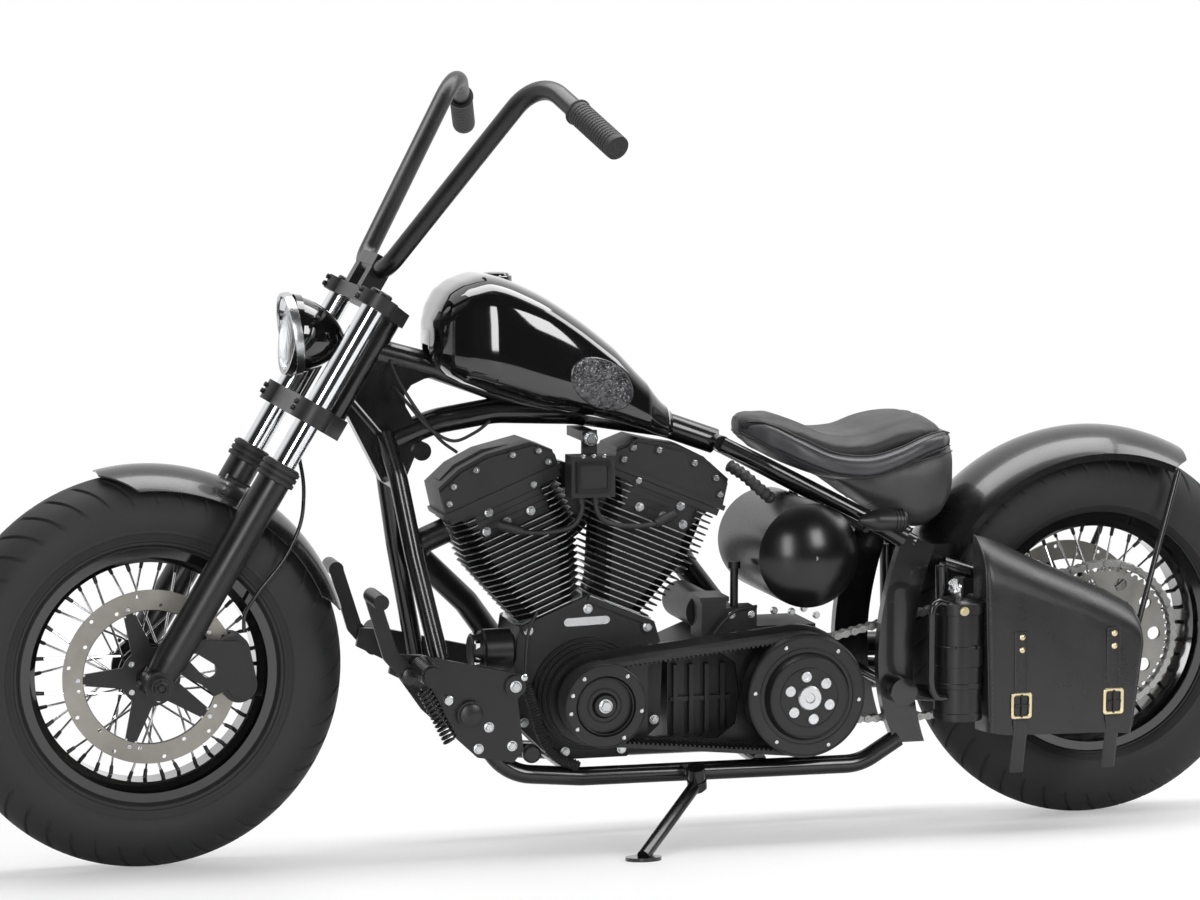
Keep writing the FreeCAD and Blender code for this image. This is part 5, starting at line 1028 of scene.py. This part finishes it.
def seat_bullet():
    """A small turned fitting with three ridges, on the left of the frame below the seat."""
    profile = [(-6, 0), (-6, 5), (0, 8.5), (10, 13), (18, 17), (24, 18.4), (27, 19), (56, 19.4)]
    for base in (57, 63, 69):
        profile += [(base, 19.4), (base + 0.6, 21), (base + 3.4, 21), (base + 4, 19.4)]
    profile += [(75, 19), (78, 16), (78, 0)]
    kit = Kit(BIKE).add(turned(profile, 40), towards((-380, 125, 559), (-1, 0, -0.03)))
    kit.add(swept([(-396, 126, 556), (-392, 118, 548), (-388, 112, 540)], 6.5, 12))
    kit.make("seat_fitting", "frame", "black_paint", CLAMP, 35)


# The skirt's stations, and how square its section is.
SKIRT_STATIONS = [
    (-346, 84, 620, 640), (-368, 90, 606, 652), (-395, 94, 586, 656), (-430, 97, 564, 662),
    (-472, 100, 541, 672), (-508, 101, 533, 684), (-540, 96, 550, 688), (-560, 80, 578, 686),
    (-571, 46, 600, 676)]
SKIRT_POWER = 3.4


def skirt():
    """The leather pouch that hangs below the back of the seat, with seams down and along its sides."""
    loops = []
    rows, steps = 60, 72
    angles = all_round(steps)
    for row in range(rows + 1):
        x, width, low, high = station_row(SKIRT_STATIONS, row, rows)
        ring = []
        for y, z in oval(width, low, high, SKIRT_POWER, angles):
            fold = noise.noise(Vector((x, y * 0.5, z)) * 0.016) * 2.4 + noise.noise(Vector((x, y, z)) * 0.04)
            hang = 0.5 + 0.5 * sin(pi * min(1, max(0, (z - low) / (high - low))))
            ring.append((x, y + copysign(fold * hang, y), z))
        loops.append(ring)
    Kit(BIKE).add(rings(loops)).make("seat_skirt_leather", "frame", "leather", SKIRT_HIDE, 60, ["seat_skirt"])
    seams = Kit(BIKE)
    for side in (1, -1):
        down, along = [], []
        for step in range(15):
            x, z = -404 - 10 * step / 14, 660 - 84 * step / 14
            _, width, low, high = sampled(SKIRT_STATIONS, x)
            share = abs((z - (low + high) / 2) / ((high - low) / 2))
            reach = width * max(0, 1 - share ** SKIRT_POWER) ** (1 / SKIRT_POWER)
            down.append((x, side * (reach + 0.6), z))
        for step in range(31):
            x = -372 - 190 * step / 30
            _, width, low, high = sampled(SKIRT_STATIONS, x)
            along.append((x, side * (width * 0.965 + 0.4), high - (high - low) * 0.16))
        seams.add(swept(down, 1.6, 8)).add(swept(along, 1.5, 8))
    # The seams take the band's colour, lightened as painted sheen.
    seams.make("skirt_seams", "frame", "leather", BAND_LEATHER_AND_SHEEN, 60)


# The saddlebag: its back and its face across the machine, and the lines of its top, of the fold over
# its face and of its foot, from front to back in (x, z). BAG_EDGE is the share of its length that
# draws in at each end.
BAG_BACK, BAG_FACE = 160, 236
BAG_FRONT, BAG_LENGTH, BAG_LOW, BAG_HEIGHT = -568, 290, 190, 240
BAG_TOP = ((-568, 532), (-600, 524), (-673, 490), (-786, 441), (-838, 414), (-858, 398))
BAG_FOLD = ((-568, 452), (-600, 440), (-682, 412), (-775, 377), (-838, 350), (-858, 338))
BAG_FOOT = ((-576, 198), (-612, 193), (-686, 191), (-775, 189), (-820, 186), (-838, 184))
BAG_EDGE = 0.10


def bag_line(line, share):
    """A place along one of the bag's lines, which run from its front to its back."""
    points = smooth_path([(x, z, 0) for x, z in line], 6)
    at = share * (len(points) - 1)
    index = min(int(at), len(points) - 2)
    return points[index].lerp(points[index + 1], at - index)


def bag_section(share, rows):
    """The bag's outline across: up the back, over the soft fold and down the face."""
    top, fold, foot = (bag_line(line, share) for line in (BAG_TOP, BAG_FOLD, BAG_FOOT))
    ends = min(1, share / BAG_EDGE, (1 - share) / BAG_EDGE)
    tuck = 7 * (1 - sqrt(max(0, 1 - (1 - ends) ** 2)))
    face = BAG_FACE - tuck
    section = []
    for step in range(rows):
        section.append((foot.lerp(top, step / rows), BAG_BACK + 0.5 * tuck))
    for step in range(rows):
        angle = pi / 2 * step / rows
        drop = top.lerp(fold, 1 - cos(angle))
        section.append((drop, BAG_BACK + 6 + (face - BAG_BACK - 6) * sin(angle) ** 1.25))
    for step in range(rows):
        along = step / rows
        crown = 2.6 * sin(pi * along) * sin(pi * share)
        section.append((fold.lerp(foot, along), face + crown))
    for step in range(rows):
        angle = pi / 2 * step / rows
        low = foot + Vector((0, -5 * sin(angle), 0))
        section.append((low, face - (face - BAG_BACK) * step / rows))
    return [(place.x, depth, place.y) for place, depth in section]


def face_point(x, z, lift):
    """A place on the bag's face, which stands out most in the middle."""
    along, up = (x - BAG_FRONT) / -BAG_LENGTH, (z - BAG_LOW) / BAG_HEIGHT
    bulge = sin(pi * min(1, max(0, along))) * sin(pi * min(1, max(0, up)))
    return (x, BAG_FACE + 2.6 * bulge + lift, z)


# Where the two straps are, their ends on the bag's face, and the middle of their buckles.
STRAPS, STRAP_TOP, STRAP_FOOT = (-631, -801), 372, 200
BUCKLE_LEVEL = 244


def saddlebag():
    """A stiff leather bag whose flap folds over the top and is held by two straps."""
    columns, rows = 56, 14
    kit = Kit(BIKE)
    kit.add(rings([bag_section(column / columns, rows) for column in range(columns + 1)]))
    for x in STRAPS:
        strap = [face_point(x, STRAP_TOP - (STRAP_TOP - STRAP_FOOT) * step / 20, 1.4) for step in range(21)]
        strap += [(x, BAG_FACE - 1.0 - 4 * step, 196 - 18 * step) for step in range(1, 5)]
        kit.add(swept(strap, 12.6, 16, 0.16, (1, 0, 0)))
        keeper = [face_point(x, 207, 2.6), face_point(x, 213, 2.9), face_point(x, 219, 2.6)]
        kit.add(swept(keeper, 14.5, 16, 0.2, (1, 0, 0)))
    for share in (0.004, 0.996):
        kit.add(swept(bag_section(share, rows)[rows:rows * 3], 2.0, 8))
    kit.make("saddlebag_leather", "frame", "leather", LEATHER, 50, ["saddlebag"])
    stitches = Kit(BIKE)
    out = Vector((0, 0.5, 0))
    for share in (0.035, 0.965):
        section = smooth_path(bag_section(share, rows)[rows * 2 - 3:rows * 3], 4)
        for first, second in list(zip(section, section[1:]))[::2]:
            stitches.add(swept([first + out, second + out], 0.7, 6))
    for x in STRAPS:
        for side in (-9.5, 9.5):
            for z in range(366, 222, -9):
                if abs(z - BUCKLE_LEVEL) >= 26:
                    ends = [face_point(x + side, z, 3.1), face_point(x + side, z - 5, 3.1)]
                    stitches.add(swept(ends, 0.6, 6))
    stitches.make("saddlebag_stitches", "frame", "leather", THREAD, 60)


def buckles():
    """Two rivets on each strap, and a buckle with its bar and prong."""
    metal, dark = Kit(BIKE), Kit(BIKE)
    outer, inner = rounded_box(19, 23, 6), rounded_box(13.5, 17.5, 4)
    lines = [(outer, 1.2), (outer, 4.2), (inset(outer, 1.3), 5.2), (inset(inner, -1.3), 5.2),
             (inner, 4.2), (inner, 1.2)]
    for x in STRAPS:
        metal.many(turned([(0, 5.5), (1.4, 5.2), (3.0, 3.2), (3.6, 0)], 20),
                   [facing(*face_point(x, z, 3.2)) for z in (363, 341)])
        metal.add(rings([[face_point(x + px, BUCKLE_LEVEL + pz, lift) for px, pz in line]
                         for line, lift in lines], closed=True))
        prong = [(x, 224, 5), (x, BUCKLE_LEVEL, 6.4), (x, 264, 5)]
        for bar in (prong, [(x - 13, BUCKLE_LEVEL, 4.2), (x + 13, BUCKLE_LEVEL, 4.2)]):
            dark.add(swept([face_point(*place) for place in bar], 2.0, 10))
    metal.make("saddlebag_buckles", "frame", "leather", BRASS, 35)
    dark.make("buckle_prongs", "frame", "leather", SATIN, 50)


# The canister's middle in (x, y), and its clamp bands as (level, height, how far out).
CANISTER, CANISTER_RADIUS = (-530, 199.3), 41
BANDS = ((222, 12, 1.4), (276, 10, 1.6), (314, 36, 1.8), (404, 20, 2.2))


def canister_trim():
    """Clamp bands with their bolts, a shoulder, a side pipe, and a valve on top."""
    x, y = CANISTER

    def out_of_canister(radius, degrees, level):
        turn = radians(degrees)
        way = (cos(turn), sin(turn), 0)
        return towards((x + radius * way[0], y + radius * way[1], level), way)

    at = Matrix.Translation((x, y, 0))
    kit = Kit(BIKE)
    for level, height, out in BANDS:
        radius, top = CANISTER_RADIUS + out, level + height
        kit.add(turned([(level, 40), (level, radius - 0.8), (level + 0.8, radius), (top - 0.8, radius),
                        (top, radius - 0.8), (top, 40)], 64), at)
    kit.add(turned([(424, 38), (428, 33), (431, 22), (432, 12)], 48), at)
    kit.many(cap_bolt(3.6, 4), [out_of_canister(42.5, degrees, 348) for degrees in (60, 118)])
    kit.make("canister_bands", "frame", "rubber", SATIN, 35)
    route = [(-500, 222, 424), (-482, 228, 428), (-470, 231, 416), (-469, 231, 380),
             (-469, 231, 320), (-470, 231, 286), (-480, 229, 266), (-498, 226, 262)]
    Kit(BIKE).add(swept(smooth_path(route), 6.5, 16)).make("canister_pipe", "frame", "rubber", FRAME, 60)
    valve = Kit(BIKE).add(swept([(-524, 214, 428), (-516, 222, 448), (-508, 228, 462)], 8.5, 20))
    valve.add(turned([(0, 0), (0, 11), (2, 12), (7, 12), (9, 10), (9, 0)], 24),
              towards((-516, 222, 446), (0.45, 0.35, 0.8)))
    valve.make("canister_valve", "frame", "steel", BRIGHT, 40)
    at = out_of_canister(43, 82, 413)
    brass = Kit(BIKE).add(turned([(0, 8), (2.2, 8), (3.0, 7), (3.0, 0)], 24), at).add(hex_bolt(4.6, 6.4), at)
    brass.make("canister_fitting", "frame", "steel", BRASS, 35)


# ---------------------------------------------------------------- fork and headlight

FORK_SPACING = 122


def fork_trim():
    """Pinch bolts and tube plugs on the clamps, and ribbed boots on the sliders."""
    kit, boots = Kit(FORK), Kit(FORK)
    plug = [(735, 0), (735, 19.5), (740, 19.5), (742, 17.5), (742, 11), (739, 10), (739, 0)]
    boot = [(383.5, 28.2), (384.2, 32.6)]
    for base in (385, 395, 405):
        boot += [(base, 33.4), (base + 6, 33.4), (base + 7, 30.6), (base + 9, 30.6)]
    boot += [(414.5, 29), (415.5, 26), (415.5, 20.8)]
    for y in (FORK_SPACING, -FORK_SPACING):
        kit.many(cap_bolt(4.5, 5), [towards((33.5, y, level), (1, 0, 0)) for level in (504, 516, 716, 729)])
        kit.add(turned(plug, 40), Matrix.Translation((0, y, 0)))
        boots.add(turned(boot, 56), Matrix.Translation((0, y, 0)))
    kit.make("clamp_bolts", "fork", "steel", SATIN, 35)
    boots.make("dust_boots", "fork", "rubber", GRIP, 40)


# Where the left grip ends and starts on the bar.
GRIP_END, GRIP_START = (-122, 472, 1109), (-12, 262, 1164)


def grips():
    """Ribs round each grip, between a flange and a rounded end."""
    profile = [(-3.9, 0), (-3.9, 17), (-3, 20.2), (2, 20.6)]
    for base in range(8, 113, 7):
        profile += [(base, 20.6), (base + 0.8, 19.5), (base + 1.8, 19.5), (base + 2.6, 20.6)]
    profile += [(117, 20.6), (118.5, 22.5), (121, 22.5), (121.1, 16.5)]
    kit = Kit(FORK)
    for side in (1, -1):
        end, start = (Vector((x, side * y, z)) for x, y, z in (GRIP_END, GRIP_START))
        kit.add(turned(profile, 36), towards(end, start - end))
    kit.make("grip_sleeves", "fork", "rubber", GRIP, 30, ["grips"])


# The middle of the lamp's mouth, how far it looks down in degrees, and the mouth's radius.
LAMP_AT, LAMP_DROP, LAMP_MOUTH = (596, 0, 892), 8, 60.5


def lamp():
    """The bowl's rim, the reflector and the bulb."""
    at = (Matrix.Translation(LAMP_AT) @ Matrix.Rotation(radians(LAMP_DROP), 4, "Y")
          @ Matrix.Rotation(pi / 2, 4, "Y"))
    rim = [(-13, 68.1), (-12, 69.6), (-2, 70.2), (1.5, 69.2), (2.6, 67), (1.8, 64.6), (-1, 63.2), (-1, 66)]
    Kit(STEERED).add(turned(rim, 72, closed=True), at).make("lamp_rim", "fork", "chrome", BRIGHT, 40)
    profile = []
    for step in range(12):
        radius = LAMP_MOUTH * (1 - step / 12)
        profile.append((-1.5 - 44 * (1 - (radius / LAMP_MOUTH) ** 2), max(radius, 9)))
    reflector = Kit(STEERED).add(turned(profile + [(-46, 0)], 64), at)
    reflector.make("lamp_reflector", "fork", "chrome", CHROME, 60)
    bulb = Kit(STEERED).add(turned([(-44, 8), (-26, 8), (-16, 6.5), (-12, 3), (-11, 0)], 20), at)
    bulb.make("lamp_bulb", "fork", "lens_glass", CHROME, 60)


# ---------------------------------------------------------------- tank

# The tank's stations, half the width and the roof in (x, z) of the tunnel under it, and its filler.
TANK_STATIONS = [
    (360, 32, 858, 896), (357, 54, 846, 914), (348, 80, 832, 938), (333, 101, 818, 961), (308, 120, 805, 978),
    (262, 138, 788, 988), (190, 140, 766, 963), (120, 134, 750, 920), (50, 116, 735, 866),
    (-10, 90, 718, 806), (-52, 60, 704, 760), (-64, 44, 704, 748)]
TUNNEL = 30
TUNNEL_ROOF = ((440, 880), (350, 868), (130, 790), (-120, 752))
FILLER_AT = (226, -52, 0)


def tunnel_roof(x):
    for (x0, z0), (x1, z1) in zip(TUNNEL_ROOF, TUNNEL_ROOF[1:]):
        if x0 >= x >= x1:
            return z0 + (z1 - z0) * (x0 - x) / (x0 - x1)
    return TUNNEL_ROOF[-1][1]


def tank_section(x, width, low, high, steps=96, power=3.6):
    """A rounded shell, open below for the frame's top tubes."""
    gap = asin(min(0.9, (min(TUNNEL, width * 0.85) / width) ** (power / 2)))
    angles = [-pi / 2 + gap + (tau - 2 * gap) * step / steps for step in range(steps + 1)]
    ring = [(x, y, z) for y, z in oval(width, low, high, power, angles)]
    edge, foot = ring[0][1], ring[0][2]
    roof = max(foot + 2, min(tunnel_roof(x), high - 5))
    return ring + [(x, 3 - edge, foot + 1), (x, 4 - edge, roof), (x, edge - 4, roof), (x, edge - 3, foot + 1)]


# The hammered oval's middle in (x, z), half its length, half its height, and how far it leans ahead.
PATCH_AT, PATCH_LONG, PATCH_HIGH, PATCH_LEAN = (83, 806), 55, 47, 22
RAY_START = 260


def tank_patch(shell):
    """A hammered oval laid on the shell's left flank, found by rays from that side."""
    tree = BVHTree.FromPolygons(shell.points, shell.faces)
    way = (BIKE.to_3x3() @ Vector((0, -1, 0))).normalized()
    rows, columns = 44, 132
    spokes = []
    for column in range(columns):
        angle = tau * column / columns
        spoke = []
        for row in range(rows + 1):
            share = max(row / rows, 0.01)
            x = PATCH_AT[0] + share * (PATCH_LONG * cos(angle) + PATCH_LEAN * sin(angle))
            z = PATCH_AT[1] + share * PATCH_HIGH * sin(angle)
            place, normal, _, _ = tree.ray_cast(BIKE @ Vector((x, RAY_START, z)), way)
            if place is None or abs(normal.dot(way)) < 0.3:
                spoke.append(spoke[-1])
                continue
            normal = normal if normal.dot(way) < 0 else -normal
            dents = abs(noise.noise(Vector((x, z, 3)) * 0.19))
            dents += 0.7 * abs(noise.noise(Vector((x, z, 9)) * 0.40))
            rim = 1.4 * max(0, 1 - abs(share - 0.93) / 0.05)
            lift = 0.001 * (1.0 + 3.4 * dents * (share < 0.9) + rim) if row < rows else -0.0004
            spoke.append(place + normal * lift)
        spokes.append(spoke)
    loops = [list(loop) for loop in zip(*spokes)]
    patch = Kit(Matrix.Identity(4)).add(rings(loops, caps=False))
    patch.make("tank_patch", "frame", "black_paint", HAMMERED, 70)


def tank():
    """The teardrop tank, its hammered oval, and a low filler cap."""
    rows = 120
    shell = Kit(BIKE)
    shell.add(rings([tank_section(*station_row(TANK_STATIONS, row, rows)) for row in range(rows + 1)]))
    shell.make("tank_shell", "frame", "black_paint", GLOSS, 40, ["fuel_tank"])
    tank_patch(shell)
    at = Matrix.Translation(FILLER_AT)
    cap = Kit(BIKE)
    cap.add(turned([(966, 29), (979, 29), (980.5, 27.5), (980.5, 25), (966, 25)], 56, closed=True), at)
    cap.add(turned([(966, 0), (966, 24), (982, 24), (984.5, 22.5), (986, 17), (986.5, 0)], 56), at)
    cap.make("filler_cap", "frame", "black_paint", GLOSS, 35)


# ---------------------------------------------------------------- floor, light and camera

# Soft lamps: (name, place, aim, width, height, watts).
LAMPS = (
    ("over", (0.0, -0.2, 3.4), (0, 0, 0.5), 4.4, 1.5, 118),
    ("strip_front", (1.46, 3.1, 1.0), (0.3, 0, 0.75), 0.8, 2.0, 46),
    ("side_rear", (-1.5, 3.1, 1.6), (0.1, 0, 0.8), 1.05, 1.5, 48),
    ("rear_top", (-3.2, 0.3, 2.9), (-0.6, 0.2, 0.5), 1.3, 2.2, 46),
    ("behind", (0, -3.6, 2.0), (0, 0, 0.7), 4.2, 2.2, 50))
WHITE = (1, 1, 1, 1)
FLOOR_LENGTH, FLOOR_WIDTH, FLOOR_STEPS = 2.7, 1.8, 96
FRONT_DARK, BACK_SEEN, WORLD_FILL = 0.03, 1.0, 0.13
# The photograph's view in the upright machine: degrees round and down, and millimetres.
CAMERA_YAW, CAMERA_PITCH, CAMERA_AT = 15.133, 6.565, (1658.4, 5932.8, 1387.4)
LENS_LENGTH, SENSOR = 108, 36


def floor_plane():
    """A pale floor that fades to white away from the machine."""
    mesh = bpy.data.meshes.new("floor")
    edge = [(FLOOR_LENGTH * x, FLOOR_WIDTH * y, 0) for x, y in circle(1, FLOOR_STEPS)]
    mesh.from_pydata(edge, [], [list(range(FLOOR_STEPS))])
    floor = bpy.data.objects.new("floor", mesh)
    bpy.context.collection.objects.link(floor)
    made, tree, _ = plain_material("floor_pale", {"Base Color": (0.85, 0.85, 0.85, 1), "Roughness": 0.5})
    white = add_node(tree, "Emission", {"Color": WHITE})
    where = add_node(tree, "NewGeometry").outputs["Position"]
    oval_place = add_node(tree, "VectorMath", {0: where, 1: (1, 1.5, 1)}, operation="MULTIPLY")
    length = add_node(tree, "VectorMath", {0: oval_place}, operation="LENGTH").outputs["Value"]
    fade = add_node(tree, "MapRange", {"Value": length, "From Min": 1.3, "From Max": 2.6, "To Min": 0.35})
    rays = add_node(tree, "LightPath").outputs
    both = add_node(tree, "Math", {0: fade, 1: rays["Is Camera Ray"]}, operation="MULTIPLY")
    mix = add_node(tree, "MixShader", {"Fac": both, 1: tree.nodes["Principled BSDF"], 2: white})
    feed(tree.nodes["Material Output"].inputs["Surface"], mix)
    mesh.materials.append(made)


def studio_world():
    """White to look at and through, a pale backdrop behind, and a dark room in front of the machine."""
    world = bpy.data.worlds.new("studio")
    bpy.context.scene.world = world
    world.use_nodes = True
    tree = world.node_tree
    fill = tree.nodes["Background"]
    feed(fill.inputs["Strength"], WORLD_FILL)
    feed(fill.inputs["Color"], WHITE)
    seen = add_node(tree, "Background", {"Color": WHITE})
    ways = add_node(tree, "SeparateXYZ", {"Vector": add_node(tree, "TexCoord").outputs["Generated"]})
    room = add_node(tree, "MapRange", {"Value": ways.outputs["Y"], "From Min": -0.15, "From Max": 0.35,
                                       "To Min": BACK_SEEN, "To Max": FRONT_DARK})
    mirrored = add_node(tree, "Background", {"Color": WHITE, "Strength": room})
    rays = add_node(tree, "LightPath").outputs
    lit = add_node(tree, "MixShader", {"Fac": rays["Is Glossy Ray"], 1: fill, 2: mirrored})
    either = {0: rays["Is Camera Ray"], 1: rays["Is Transmission Ray"]}
    mix = add_node(tree, "MixShader", {
        "Fac": add_node(tree, "Math", either, operation="MAXIMUM"), 1: lit, 2: seen})
    feed(tree.nodes["World Output"].inputs["Surface"], mix)


def lamps():
    for name, at, aim, width, height, power in LAMPS:
        light = bpy.data.lights.new(name, "AREA")
        light.shape = "RECTANGLE"
        light.size, light.size_y, light.energy = width, height, power
        lamp_object = bpy.data.objects.new(name, light)
        lamp_object.location = at
        lamp_object.rotation_euler = (Vector(aim) - Vector(at)).to_track_quat("-Z", "Y").to_euler()
        lamp_object.visible_glossy = name != "behind"
        bpy.context.collection.objects.link(lamp_object)


def camera():
    """The photograph's view, carried over with the lean."""
    yaw, pitch = radians(CAMERA_YAW), radians(CAMERA_PITCH)
    way = Vector((-sin(yaw) * cos(pitch), -cos(yaw) * cos(pitch), -sin(pitch)))
    right = way.cross(Vector((0, 0, 1))).normalized()
    lens = bpy.data.cameras.new("camera")
    lens.lens, lens.sensor_width, lens.clip_end = LENS_LENGTH, SENSOR, 100
    view = bpy.data.objects.new("camera", lens)
    turn = BIKE.to_3x3() * 1000
    matrix = with_columns(turn @ right, turn @ right.cross(way), turn @ -way)
    view.matrix_world = Matrix.Translation(BIKE @ Vector(CAMERA_AT)) @ matrix
    bpy.context.collection.objects.link(view)
    bpy.context.scene.camera = view


for build in (wheel_bolts, axle_caps, chain, belt_teeth, fin_edges, engine_bolts, cover_rings, spark_leads,
              seat, seat_bullet, skirt, saddlebag, buckles, coil_details, lines_and_springs, canister_trim,
              fork_trim, grips, lamp, tank, floor_plane, studio_world, lamps, camera):
    build()
bpy.context.scene.view_settings.view_transform = "Standard"
